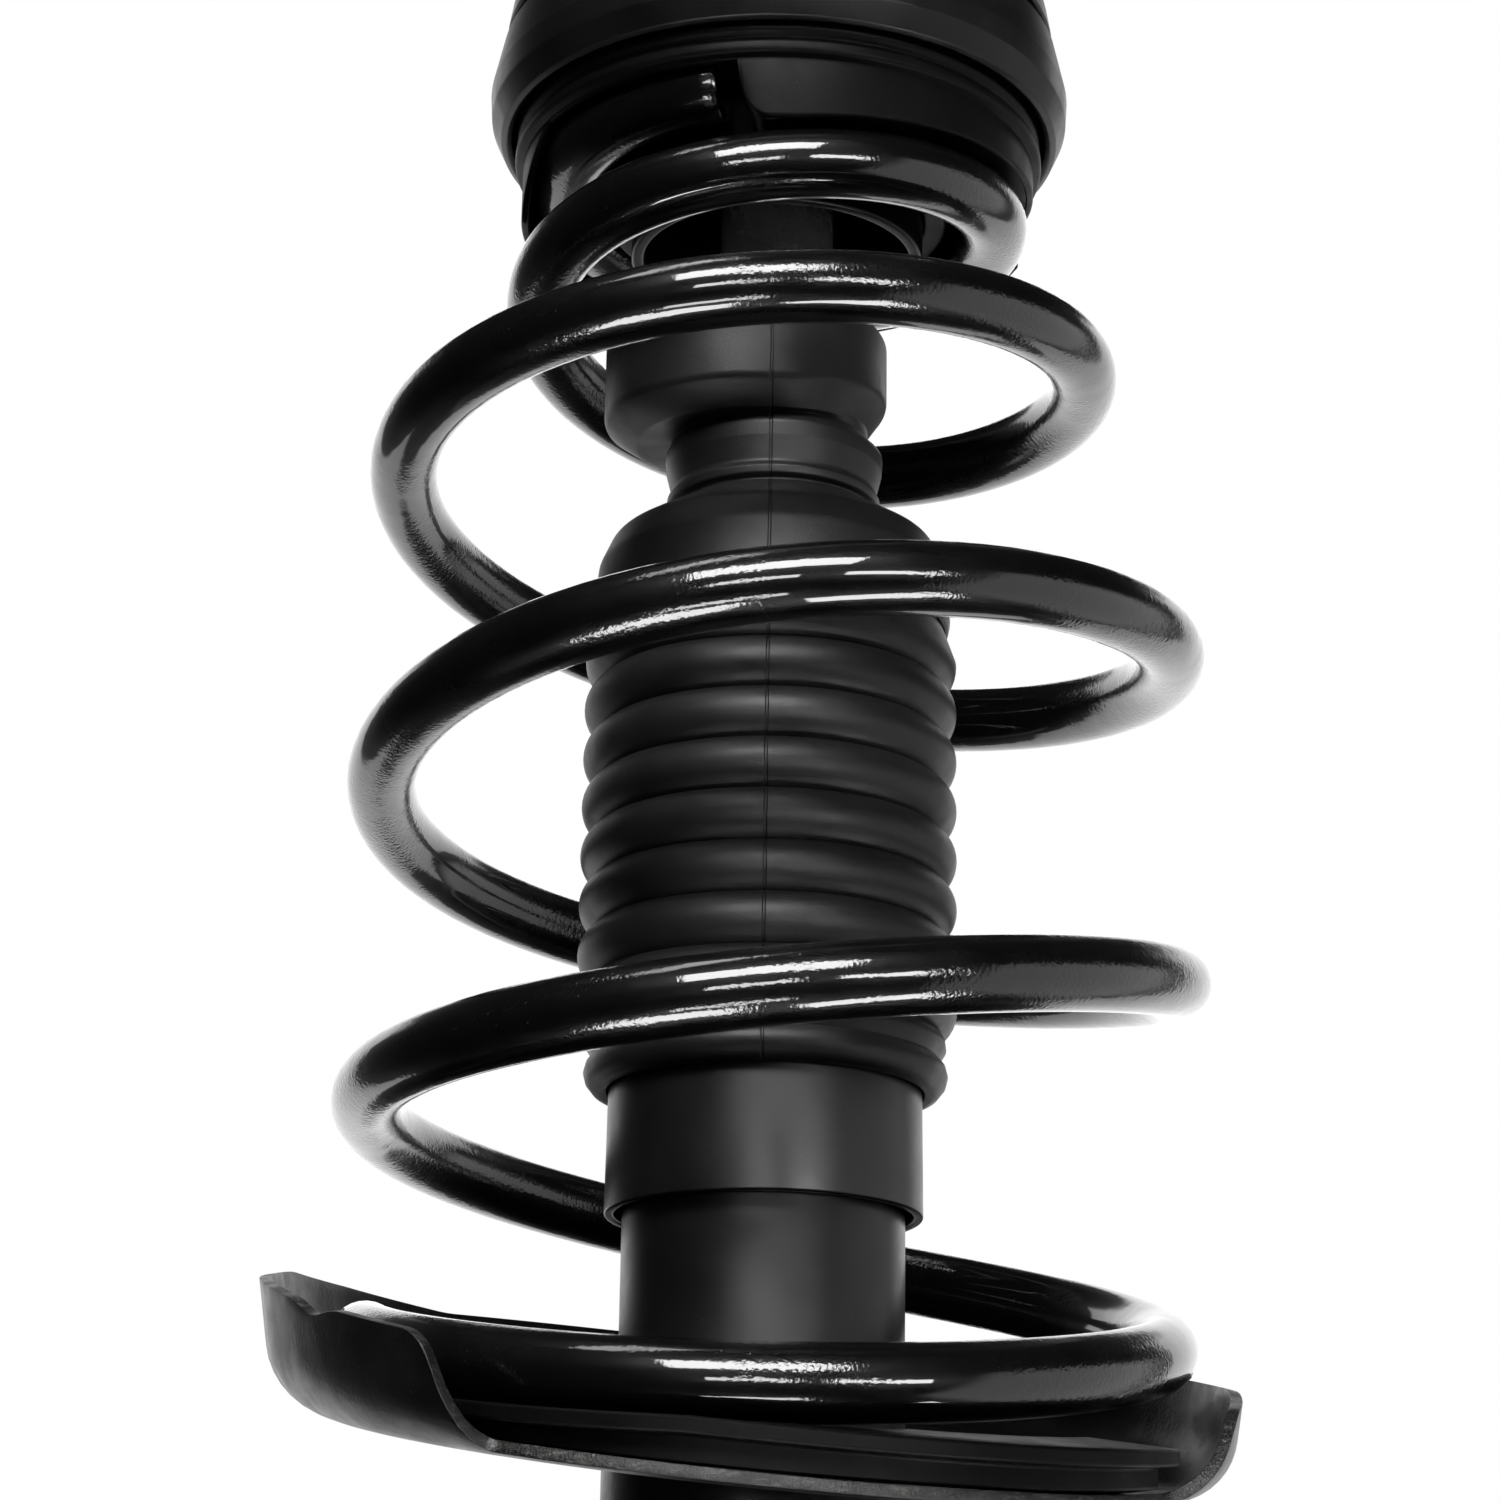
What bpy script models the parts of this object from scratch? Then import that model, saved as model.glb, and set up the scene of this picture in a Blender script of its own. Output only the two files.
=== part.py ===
"""A front suspension strut with its coil spring, dust boot and top mount.

The origin is the middle of the damper tube's flat base. +Z runs up the piston rod, -Y points
to the wheel and X runs along the car. Lengths are in metres and angles in degrees. The strut
is modelled at full extension, as it is stored, with the spring held between its two seats.
"""
import math

import bmesh
import bpy
from mathutils import Vector

MM = 0.001

# Fits
GAP = 0.3 * MM                     # between two pieces that touch
LOOSE = 1.5 * MM                   # round the tube, inside the striker cap

# Damper
TUBE_RADIUS = 25.5 * MM
TUBE_WALL = 2.2 * MM
TUBE_LENGTH = 251.5 * MM
TUBE_FOOT = 4.0 * MM               # height of the tube's lower end over the base
CRIMP = 3.0 * MM                   # the rolled lip that closes the tube's top
ROD_RADIUS = 11.0 * MM
ROD_EXTENSION = 210.2 * MM         # from the tube's top to the rod's shoulder
ROD_END_RADIUS = 7.0 * MM
ROD_END_LENGTH = 48.0 * MM
SPIGOT_RADIUS = 6.0 * MM           # the rod's lower end, which carries the piston
PISTON_RADIUS = 15.6 * MM
PISTON_HEIGHT = 20.0 * MM
PISTON_NUT_HEIGHT = 7.0 * MM
RING_HEIGHT = 8.0 * MM
RING_DEPTH = 1.2 * MM
STOP_HEIGHT = 18.0 * MM            # rebound stop on the rod, under the guide
CYLINDER_WALL = 1.5 * MM
VALVE_HEIGHT = 15.0 * MM
GUIDE_HEIGHT = 10.0 * MM
GUIDE_NOSE = 7.0 * MM
BUSH_WALL = 1.2 * MM
SEAL_HEIGHT = 6.0 * MM

# Striker cap over the tube's top
CAP_WALL = 1.75 * MM
CAP_ROOF = 2.0 * MM
CAP_SKIRT = 40.0 * MM              # from the tube's top down
CAP_FLARE = 0.4 * MM

# Travel
TRAVEL = 80.0 * MM                 # from full extension to the bump stop

# Spring seat on the tube
PAN_LEVEL = 176.0 * MM             # floor height on the tube's axis, top of the sheet
PAN_SHEET = 2.1 * MM
PAN_SHIFT = -1.9 * MM              # the dish is off the tube's axis
PAN_DIP_FRONT = 10.5
PAN_DIP_RIGHT = 5.0
PAN_FLOOR_RADIUS = 72.5 * MM       # where the floor starts to curl
PAN_CURL = 11.0 * MM
PAN_WALL_LEAN = 9.0
PAN_HOLE_CLEARANCE = 1.0 * MM
PAN_FRONT_LIP = 4.0 * MM           # floor past the curl's start along the open front
PAN_WALL = (                       # plan angle, height of the wall over the floor
    (-24, 0.0), (-14, 15.0), (0, 17.5), (18, 17.5), (45, 15.0), (90, 13.0), (135, 14.5),
    (155, 18.6), (170, 21.2), (190, 20.9), (208, 19.0), (213, 16.5), (218, 18.2), (232, 16.8),
    (234.3, 12.0), (235.3, 5.5), (236.3, 2.5), (238.5, 0.0))
COLLAR_WALL = 2.2 * MM
COLLAR_HEIGHT = 24.0 * MM

# Spring
WIRE_RADIUS = 6.5 * MM
SPRING_SHIFT = 1.5 * MM            # the body coils are off the tube's axis
SPRING_TOP_ANGLE = 250.0           # plan angle of the upper end
PAD_BED = 11.0 * MM                # from the pan's level to the underside of the end coil
SEAT_BED = 20.8 * MM               # from the top of the upper end to the seat's underside
HALF_TURN_STEPS = 15
SPRING_STEPS = 155
SPRING_STATIONS = (                # half turns from the upper end, share of the rise, coil radius
    (0.0, 1.005, 41.5), (0.4, 0.995, 41.5), (1.4, 0.959, 42.5), (2.4, 0.885, 46.5),
    (3.4, 0.808, 58.0), (4.4, 0.721, 72.5), (5.4, 0.564, 73.5), (6.4, 0.440, 73.5),
    (7.4, 0.290, 73.5), (8.4, 0.177, 73.5), (9.4, 0.000, 69.5), (10.5, 0.004, 72.5))
SPRING_LEAN = (                    # half turns, how much lower the front of the coil lies
    (0.0, 0.0), (1.9, -0.5), (2.9, -4.5), (3.9, -0.8), (5.9, -3.0), (6.9, 2.5), (7.9, 6.5),
    (8.9, 9.0), (9.9, 14.0), (10.5, 14.0))

# Upper seat and isolator
SEAT_BELOW_SHOULDER = 18.9 * MM    # underside of the seat plate under the rod's shoulder
SEAT_SHEET = 2.5 * MM
HUB_RADIUS = 28.5 * MM
HUB_DROP = 43.1 * MM
RIM_OVERHANG = 6.8 * MM            # the rim stands this far outside the isolator's skirt
RIM_DROP = 19.2 * MM
ISOLATOR_LIP = 21.8 * MM
SKIRT_DROP = 36.8 * MM
SKIRT_WALL = 1.3 * MM
CHANNEL_INSIDE = 1.6 * MM          # room beside the wire in the isolator
CHANNEL_OUTSIDE = 0.9 * MM
PAD_MARGIN = 2.0 * MM
PAD_HEIGHT = 8.5 * MM              # its most, where the wire lifts off
PAD_FLANGE = 2.8 * MM              # the part of the pad that stands out over its foot
PAD_UNDERCUT = 4.0 * MM
PAD_GROOVE = (0.35, 0.2, 0.0, -0.2, -0.35)
PAD_LENGTH = 0.784                 # half turns of the wire that the lower pad carries
PAD_STEPS = 12

# Boot and bump stop
BOOT_WALL = 2.0 * MM
RIBS = 8
RIB_PITCH = 9.5 * MM
RIB_DEPTH = 2.6 * MM
RIB_CLEARANCE = 6.0 * MM           # crests stand this far outside the striker cap
BOOT_TOP = 134.5 * MM              # over the tube's top
NECK_RADIUS = 19.4 * MM
LOBE_RADIUS = 20.5 * MM
HEAD_RADIUS = 27.4 * MM
HEAD_SHIFT = -5.4 * MM             # the head is moulded off centre
BUMPER_WALL = 4.6 * MM
BUMPER_NOSE = 2.4 * MM

# Bearing and top mount
RACE_INNER, RACE_OUTER = 34.0 * MM, 46.0 * MM
RACE_HEIGHT = 5.6 * MM
BALL_RADIUS = 3.0 * MM
BALLS = 10
HOUSING_SHEET = 2.5 * MM
HOUSING_HOLE = 24.0 * MM
PLATE_SHEET = 4.0 * MM
CUP_RADIUS = 34.0 * MM
CUP_HEIGHT = 16.7 * MM
CUP_MOUTH = 21.0 * MM
CORE_RADIUS = 15.0 * MM
STUD_CIRCLE = 56.0 * MM
STUD_RADIUS = 4.0 * MM
STUD_LENGTH = 24.0 * MM
STUD_HEAD = 7.5 * MM
STUD_HEAD_HEIGHT = 2.8 * MM
LOBE_MARGIN = 15.0 * MM
WASHER_RADIUS = 19.0 * MM
WASHER_HEIGHT = 3.0 * MM
NUT_RADIUS = 12.4 * MM
NUT_HEIGHT = 11.5 * MM

# Knuckle bracket and the two tabs on the tube
SLOT = 40.0 * MM                   # between the ears
EAR_SHEET = 4.0 * MM
LINER_SHEET = 3.0 * MM
EAR_REACH = 83.0 * MM
BRACKET_BASE = 13.0 * MM
BOLT_LEVELS = (31.0 * MM, 85.0 * MM)
BOLT_REACH = 68.0 * MM
BOLT_RADIUS = 7.2 * MM
EAR_ROUND = 15.0 * MM
TAB_SHEET = 5.0 * MM
TAB_BASE = 112.0 * MM
TAB_HEIGHT = 30.0 * MM
TAB_REACH = 19.0 * MM              # from the saddle to the hole
TAB_HOLE = 5.2 * MM
SADDLE_WALL = 3.0 * MM
HOSE_SHEET = 2.6 * MM
HOSE_LEVEL = 124.0 * MM
HOSE_REACH = 34.0 * MM
HOSE_NOTCH = 6.0 * MM

# Facets
FINE, MEDIUM, COARSE = 36, 28, 18

# Levels that follow
TUBE_INNER = TUBE_RADIUS - TUBE_WALL
TUBE_TOP = TUBE_FOOT + TUBE_LENGTH
SHOULDER = TUBE_TOP + ROD_EXTENSION
CYLINDER_RADIUS = PISTON_RADIUS + GAP
SEAL_BASE = TUBE_TOP - CRIMP - SEAL_HEIGHT
GUIDE_BASE = SEAL_BASE - GAP - GUIDE_HEIGHT
STOP_TOP = GUIDE_BASE - GUIDE_NOSE - GAP
PISTON_TOP = STOP_TOP - STOP_HEIGHT - GAP
ROD_FOOT = PISTON_TOP - PISTON_HEIGHT - GAP - PISTON_NUT_HEIGHT
VALVE_TOP = TUBE_FOOT + VALVE_HEIGHT
CAP_INNER = TUBE_RADIUS + LOOSE
CAP_OUTER = CAP_INNER + CAP_WALL
STRIKER = TUBE_TOP + GAP + CAP_ROOF
SEAT_LEVEL = SHOULDER - SEAT_BELOW_SHOULDER
SEAT_TOP = SEAT_LEVEL + SEAT_SHEET
RACE_TOP = SEAT_TOP + 3 * GAP + 2 * RACE_HEIGHT + 2 * BALL_RADIUS
ROOF_LEVEL = RACE_TOP + GAP
PLATE_LEVEL = ROOF_LEVEL + HOUSING_SHEET + GAP
PLATE_TOP = PLATE_LEVEL + PLATE_SHEET
CUP_TOP = PLATE_TOP + CUP_HEIGHT
SPRING_LOW = PAN_LEVEL + PAD_BED + WIRE_RADIUS
SPRING_RISE = SEAT_LEVEL - SEAT_BED - WIRE_RADIUS - SPRING_LOW
END_COIL_RADIUS = SPRING_STATIONS[0][2] * MM
CHANNEL_IN = END_COIL_RADIUS - WIRE_RADIUS - CHANNEL_INSIDE
CHANNEL_OUT = END_COIL_RADIUS + WIRE_RADIUS + CHANNEL_OUTSIDE
SKIRT_RADIUS = CHANNEL_OUT + SKIRT_WALL
RIM_RADIUS = SKIRT_RADIUS + RIM_OVERHANG
BOOT_CREST = CAP_OUTER + RIB_CLEARANCE
FIRST_CREST = TUBE_TOP + 64.7 * MM
BOLT_HOLES = tuple((-BOLT_REACH, level) for level in BOLT_LEVELS)

STEEL = (0.02, 0.02, 0.02, 1.0)
BRIGHT = (0.55, 0.55, 0.56, 1.0)
RUBBER = (0.012, 0.012, 0.012, 1.0)


def clear_scene():
    """Remove every object and mesh that the file starts with."""
    for obj in list(bpy.data.objects):
        bpy.data.objects.remove(obj, do_unlink=True)


def new_collection(name):
    """Add a collection to the scene."""
    collection = bpy.data.collections.new(name)
    bpy.context.scene.collection.children.link(collection)
    return collection


def surface(name, colour, roughness, metallic):
    """Make a plain material."""
    material = bpy.data.materials.new(name)
    material.use_nodes = True
    shader = material.node_tree.nodes["Principled BSDF"]
    shader.inputs["Base Color"].default_value = colour
    shader.inputs["Roughness"].default_value = roughness
    shader.inputs["Metallic"].default_value = metallic
    return material


def add_part(name, data, colour=STEEL, roughness=0.35, metallic=0.0):
    """Put a mesh or curve in the strut's collection with its own material."""
    obj = bpy.data.objects.new(name, data)
    PARTS.objects.link(obj)
    data.materials.append(surface(name, colour, roughness, metallic))
    return obj


def add_cutter(name, mesh):
    """Put a mesh among the cutters, which aren't part of the strut."""
    obj = bpy.data.objects.new(name, mesh)
    CUTTERS.objects.link(obj)
    obj.hide_render = True
    obj.display_type = "WIRE"
    return obj


def boolean(obj, cutter, operation="DIFFERENCE"):
    """Cut, join or trim an object with a cutter."""
    modifier = obj.modifiers.new(cutter.name, "BOOLEAN")
    modifier.operation = operation
    modifier.solver = "EXACT"
    modifier.object = cutter


def finish_mesh(bm, name, smooth=True):
    """Turn a bmesh into a mesh whose faces point out."""
    bmesh.ops.remove_doubles(bm, verts=bm.verts, dist=1e-7)
    bmesh.ops.recalc_face_normals(bm, faces=bm.faces)
    mesh = bpy.data.meshes.new(name)
    bm.to_mesh(mesh)
    bm.free()
    if smooth:
        mesh.shade_smooth()
        mesh.set_sharp_from_angle(angle=math.radians(35))
    return mesh


def turned_mesh(name, outline, segments=MEDIUM, centre=0.0):
    """Spin a closed outline of (radius, height) points round an upright axis.

    Points at radius 0 lie on the axis, which closes a solid shape.
    """
    bm = bmesh.new()
    corners = [bm.verts.new((radius, 0.0, height)) for radius, height in outline]
    pairs = list(zip(corners, corners[1:] + corners[:1]))
    edges = [bm.edges.new(pair) for pair in pairs if pair[0].co.x > 0 or pair[1].co.x > 0]
    bmesh.ops.spin(bm, geom=corners + edges, cent=(0, 0, 0), axis=(0, 0, 1),
                   angle=2 * math.pi, steps=segments, use_merge=True)
    bmesh.ops.translate(bm, verts=bm.verts, vec=(centre, 0, 0))
    return finish_mesh(bm, name)


def turned(name, outline, segments=MEDIUM, **look):
    """Add a part made by spinning an outline."""
    return add_part(name, turned_mesh(name, outline, segments), **look)


def band(inner, outer, bottom, top):
    """Outline of a plain ring or sleeve."""
    return [(outer, top), (outer, bottom), (inner, bottom), (inner, top)]


def prism_mesh(name, outline, start, end, direction="Z"):
    """Push a flat outline from start to end along X, Y or Z.

    The outline's two coordinates are the other two axes, in X, Y, Z order.
    """
    def place(a, b, c):
        return {"X": (c, a, b), "Y": (a, c, b), "Z": (a, b, c)}[direction]
    bm = bmesh.new()
    face = bm.faces.new([bm.verts.new(place(a, b, start)) for a, b in outline])
    pushed = bmesh.ops.extrude_face_region(bm, geom=[face])["geom"]
    moved = [item for item in pushed if isinstance(item, bmesh.types.BMVert)]
    bmesh.ops.translate(bm, verts=moved, vec=place(0, 0, end - start))
    return finish_mesh(bm, name, smooth=False)


def arc(centre, radius, start, end, steps):
    """Points on an arc, from one plan angle to another."""
    turn = [math.radians(start + (end - start) * step / steps) for step in range(steps + 1)]
    return [(centre[0] + radius * math.cos(a), centre[1] + radius * math.sin(a)) for a in turn]


def smooth_value(stations, column, x):
    """Read a smooth curve through the stations' (x, value, ...) rows."""
    last = len(stations) - 1
    i = max(k for k in range(last) if k == 0 or stations[k][0] <= x)

    def slope(k):
        low, high = max(k - 1, 0), min(k + 1, last)
        return (stations[high][column] - stations[low][column]) / (stations[high][0] - stations[low][0])

    span = stations[i + 1][0] - stations[i][0]
    t = (x - stations[i][0]) / span
    return ((2 * t**3 - 3 * t**2 + 1) * stations[i][column] + (t**3 - 2 * t**2 + t) * span * slope(i)
            + (3 * t**2 - 2 * t**3) * stations[i + 1][column] + (t**3 - t**2) * span * slope(i + 1))


def straight_value(stations, x):
    """Read a line through the stations' (x, value) rows."""
    for low, high in zip(stations, stations[1:]):
        if x <= high[0]:
            share = (x - low[0]) / (high[0] - low[0])
            return low[1] + share * (high[1] - low[1])
    return stations[-1][1]


def loft_mesh(name, sections, closed):
    """Join like sections of a bent bar; closed joins the last one to the first."""
    bm = bmesh.new()
    rings = [[bm.verts.new(point) for point in section] for section in sections]
    for ring, following in zip(rings, rings[1:] + (rings[:1] if closed else [])):
        for k in range(len(ring)):
            n = (k + 1) % len(ring)
            bm.faces.new((ring[k], ring[n], following[n], following[k]))
    if not closed:
        bm.faces.new(rings[0])
        bm.faces.new(rings[-1])
    return finish_mesh(bm, name)


def wire_place(half_turns):
    """Plan angle, coil radius and height of the wire's centre, counted from its upper end."""
    angle = math.radians(SPRING_TOP_ANGLE - 180.0 * half_turns)
    radius = smooth_value(SPRING_STATIONS, 2, half_turns) * MM
    height = SPRING_LOW + SPRING_RISE * smooth_value(SPRING_STATIONS, 1, half_turns)
    height += smooth_value(SPRING_LEAN, 1, half_turns) * MM * math.sin(angle)
    return angle, radius, height


def wire_point(half_turns):
    """Centre of the wire as a point."""
    angle, radius, height = wire_place(half_turns)
    shift = SPRING_SHIFT * min(1.0, max(0.0, half_turns / 2 - 1))
    return Vector((shift + radius * math.cos(angle), radius * math.sin(angle), height))


def least_gap(points, diameter):
    """Least clear distance between the wire and itself, half a turn or more along."""
    pairs = ((a, b) for i, a in enumerate(points) for b in points[i + HALF_TURN_STEPS:])
    return min((a - b).length for a, b in pairs) - diameter


def build_spring():
    """Wind the spring as one tube from its pigtail end down to the end coil."""
    points = [wire_point(step / HALF_TURN_STEPS) for step in range(SPRING_STEPS + 1)]
    curve = bpy.data.curves.new("coil_spring", "CURVE")
    curve.dimensions = "3D"
    curve.bevel_depth = WIRE_RADIUS
    curve.bevel_resolution = 3
    curve.use_fill_caps = True
    spline = curve.splines.new("POLY")
    spline.points.add(len(points) - 1)
    for item, point in zip(spline.points, points):
        item.co = (*point, 1.0)
    add_part("coil_spring", curve, roughness=0.12)
    gap = least_gap(points, 2 * WIRE_RADIUS)
    print(f"coil_spring: least gap between its turns {gap / MM:.2f} mm")


def floor_height(x, y):
    """Height of the tilted pan floor's top over a plan point."""
    return (PAN_LEVEL + y * math.tan(math.radians(PAN_DIP_FRONT))
            - (x - PAN_SHIFT) * math.tan(math.radians(PAN_DIP_RIGHT)))


def pan_profile(length):
    """Radius past the curl's start, and height, at a length along the pan's curled edge."""
    bend = math.radians(90 - PAN_WALL_LEAN)
    turned_through = min(length / PAN_CURL, bend)
    straight = max(0.0, length - PAN_CURL * bend)
    out = PAN_CURL * math.sin(turned_through) + straight * math.cos(bend)
    up = PAN_CURL * (1 - math.cos(turned_through)) + straight * math.sin(bend)
    return out, up


def pan_edge_length(angle):
    """Length of the curled edge at a plan angle: short along the open front."""
    height = straight_value(PAN_WALL, angle) * MM
    bend = math.radians(90 - PAN_WALL_LEAN)
    curl_height = PAN_CURL * (1 - math.cos(bend))
    if height > curl_height:
        return PAN_CURL * bend + (height - curl_height) / math.sin(bend)
    return max(PAN_FRONT_LIP, PAN_CURL * math.acos(1 - height / PAN_CURL))


def build_pan():
    """Press the dished spring seat: a tilted floor, a wall round three sides, an open front."""
    front = [238.0 + 12.0 * k for k in range(1, 8)] + [330.0]
    wall = [-24, -20.5, -17, -14, -8] + [9.0 * k for k in range(23)]
    angles = wall + [208, 213, 218, 225, 232, 234.3, 235.3, 236.3, 238.5] + front
    bm = bmesh.new()
    rows = []
    hole = TUBE_RADIUS + PAN_HOLE_CLEARANCE
    for angle in angles:
        cos, sin = math.cos(math.radians(angle)), math.sin(math.radians(angle))
        points = [(hole * cos, hole * sin, 0.0)]
        length = pan_edge_length(angle if angle <= PAN_WALL[-1][0] else PAN_WALL[-1][0])
        reach = [(PAN_FLOOR_RADIUS, 0.0)]
        for share in (0.2, 0.4, 0.6, 0.8, 1.0):
            out, up = pan_profile(length * share)
            reach.append((PAN_FLOOR_RADIUS + out, up))
        points += [(PAN_SHIFT + radius * cos, radius * sin, up) for radius, up in reach]
        rows.append([bm.verts.new((x, y, floor_height(x, y) + up)) for x, y, up in points])
    for row, following in zip(rows, rows[1:] + rows[:1]):
        for k in range(len(row) - 1):
            bm.faces.new((row[k], row[k + 1], following[k + 1], following[k]))
    bmesh.ops.recalc_face_normals(bm, faces=bm.faces)
    if bm.faces[0].normal.z < 0:
        bmesh.ops.reverse_faces(bm, faces=bm.faces)
    mesh = bpy.data.meshes.new("lower_spring_pan")
    bm.to_mesh(mesh)
    bm.free()
    mesh.shade_smooth()
    pan = add_part("lower_spring_pan", mesh, roughness=0.2)
    shell = pan.modifiers.new("sheet", "SOLIDIFY")
    shell.thickness = PAN_SHEET
    shell.offset = -1.0
    shell.use_even_offset = True


def build_pan_collar():
    """Turn the welded collar under the pan and trim it to the pan's slope."""
    inner, outer = TUBE_RADIUS + GAP, TUBE_RADIUS + GAP + COLLAR_WALL
    top = PAN_LEVEL + outer
    bottom = PAN_LEVEL - COLLAR_HEIGHT - PAN_SHEET
    collar = turned("pan_collar", band(inner, outer, bottom, top), FINE)
    reach = 2 * outer
    under = PAN_SHEET / math.cos(math.radians(PAN_DIP_FRONT)) + 2 * GAP
    corners = ((-reach, -reach), (reach, -reach), (reach, reach), (-reach, reach))
    base = [(x, y, floor_height(x, y) - under) for x, y in corners]
    lid = [(x, y, z + 2 * reach) for x, y, z in base]
    boolean(collar, add_cutter("pan_slope", loft_mesh("pan_slope", [base, lid], closed=False)))


def at_floor(point):
    """The place over the pan's floor, or over its curl, at a plan point."""
    past = math.hypot(point.x - PAN_SHIFT, point.y) - PAN_FLOOR_RADIUS
    rise = PAN_CURL - math.sqrt(PAN_CURL**2 - min(max(past, 0.0) + GAP, PAN_CURL)**2)
    return Vector((point.x, point.y, floor_height(point.x, point.y) + rise + GAP))


def build_lower_isolator():
    """Mould the pad between the end coil and the pan's floor: a narrow foot and a grooved flange."""
    sections = []
    for step in range(PAD_STEPS + 1):
        centre = wire_point(SPRING_STEPS / HALF_TURN_STEPS - PAD_LENGTH * (1 - step / PAD_STEPS))
        out = Vector((centre.x, centre.y, 0)).normalized()
        half = WIRE_RADIUS + PAD_MARGIN
        groove = WIRE_RADIUS + GAP
        foot = half - PAD_UNDERCUT
        section = [at_floor(centre + out * reach) for reach in (-foot, 0.0, foot)]
        top = {}
        for reach in (half, -half, *(groove * share for share in PAD_GROOVE)):
            point = centre + out * reach
            drop = math.sqrt(groove**2 - min(abs(reach), PAD_GROOVE[0] * groove)**2)
            most = floor_height(point.x, point.y) + PAD_HEIGHT
            top[reach] = Vector((point.x, point.y, min(centre.z - drop, most)))
        for edge, reaches in ((half, (foot, half)), (-half, (-half, -foot))):
            under = []
            for reach in reaches:
                low = at_floor(centre + out * reach)
                under.append(Vector((low.x, low.y, max(low.z, top[edge].z - PAD_FLANGE))))
            if edge > 0:
                section += under + [top[reach] for reach in top if reach != -half]
            else:
                section += [top[-half]] + under
        sections.append(section)
    add_part("lower_isolator", loft_mesh("lower_isolator", sections, closed=False), RUBBER, 0.6)


def isolator_section(half_turns, ledge_turns):
    """Section of the upper isolator: a channel whose roof follows the wire's top."""
    wire = wire_place(ledge_turns)
    ledge = wire[2] + WIRE_RADIUS + GAP
    skirt = SEAT_LEVEL - SKIRT_DROP
    open_end = 0.36
    if ledge_turns < open_end:
        skirt += (ledge - skirt) * min(1.0, 2 * (1 - ledge_turns / open_end))
    if ledge_turns > 1.3:
        skirt = max(skirt, ledge - GAP)
    bottom = min(ledge - GAP, SEAT_LEVEL - SKIRT_DROP + 2 * MM)
    inner = HUB_RADIUS + GAP
    lip = SEAT_LEVEL - ISOLATOR_LIP
    outline = [(inner, SEAT_LEVEL - 2.5 * MM), (inner + 2.5 * MM, SEAT_LEVEL - GAP),
               (RIM_RADIUS - 5.8 * MM, SEAT_LEVEL - GAP),
               (RIM_RADIUS - 5.3 * MM, lip), (RIM_RADIUS - 6.6 * MM, lip - 2.5 * MM),
               (SKIRT_RADIUS, min(skirt, lip - 3.0 * MM)), (CHANNEL_OUT, min(skirt, lip - 3.0 * MM)),
               (CHANNEL_OUT, ledge), (CHANNEL_IN, ledge), (CHANNEL_IN, bottom), (inner, bottom)]
    angle = math.radians(SPRING_TOP_ANGLE - 180.0 * half_turns)
    return [(radius * math.cos(angle), radius * math.sin(angle), height) for radius, height in outline]


def build_upper_isolator():
    """Mould the ring between the upper seat and the wire, stepped at the wire's end."""
    steps = 35
    before_end = -0.012
    turns = [before_end + (1.97 - before_end) * step / steps for step in range(steps + 1)]
    sections = [isolator_section(turn, max(turn, 0.0)) for turn in turns]
    add_part("upper_isolator", loft_mesh("upper_isolator", sections, closed=True), RUBBER, 0.6)


def build_upper_seat():
    """Press the upper seat: a rolled rim, a flat plate and a hub that drops round the rod."""
    rim, sheet = RIM_RADIUS, SEAT_SHEET
    outline = [(HUB_RADIUS - 1.0 * MM, SEAT_TOP), (rim - 4.5 * MM, SEAT_TOP),
               (rim - 2.5 * MM, SEAT_TOP - 1.7 * MM), (rim, SEAT_LEVEL - 9.8 * MM),
               (rim - 0.4 * MM, SEAT_LEVEL - 15.3 * MM), (rim - 2.4 * MM, SEAT_LEVEL - RIM_DROP),
               (rim - 4.6 * MM, SEAT_LEVEL - RIM_DROP + 0.9 * MM),
               (rim - sheet - 0.5 * MM, SEAT_LEVEL - 14.2 * MM), (rim - sheet, SEAT_LEVEL - 9.8 * MM),
               (rim - 4.8 * MM, SEAT_LEVEL - 0.8 * MM), (rim - 5.6 * MM, SEAT_LEVEL),
               (HUB_RADIUS + 2.0 * MM, SEAT_LEVEL), (HUB_RADIUS, SEAT_LEVEL - 2.0 * MM),
               (HUB_RADIUS, SEAT_LEVEL - HUB_DROP), (HUB_RADIUS - sheet, SEAT_LEVEL - HUB_DROP),
               (HUB_RADIUS - sheet, SEAT_LEVEL)]
    turned("upper_spring_seat", outline, FINE, roughness=0.4)


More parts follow.
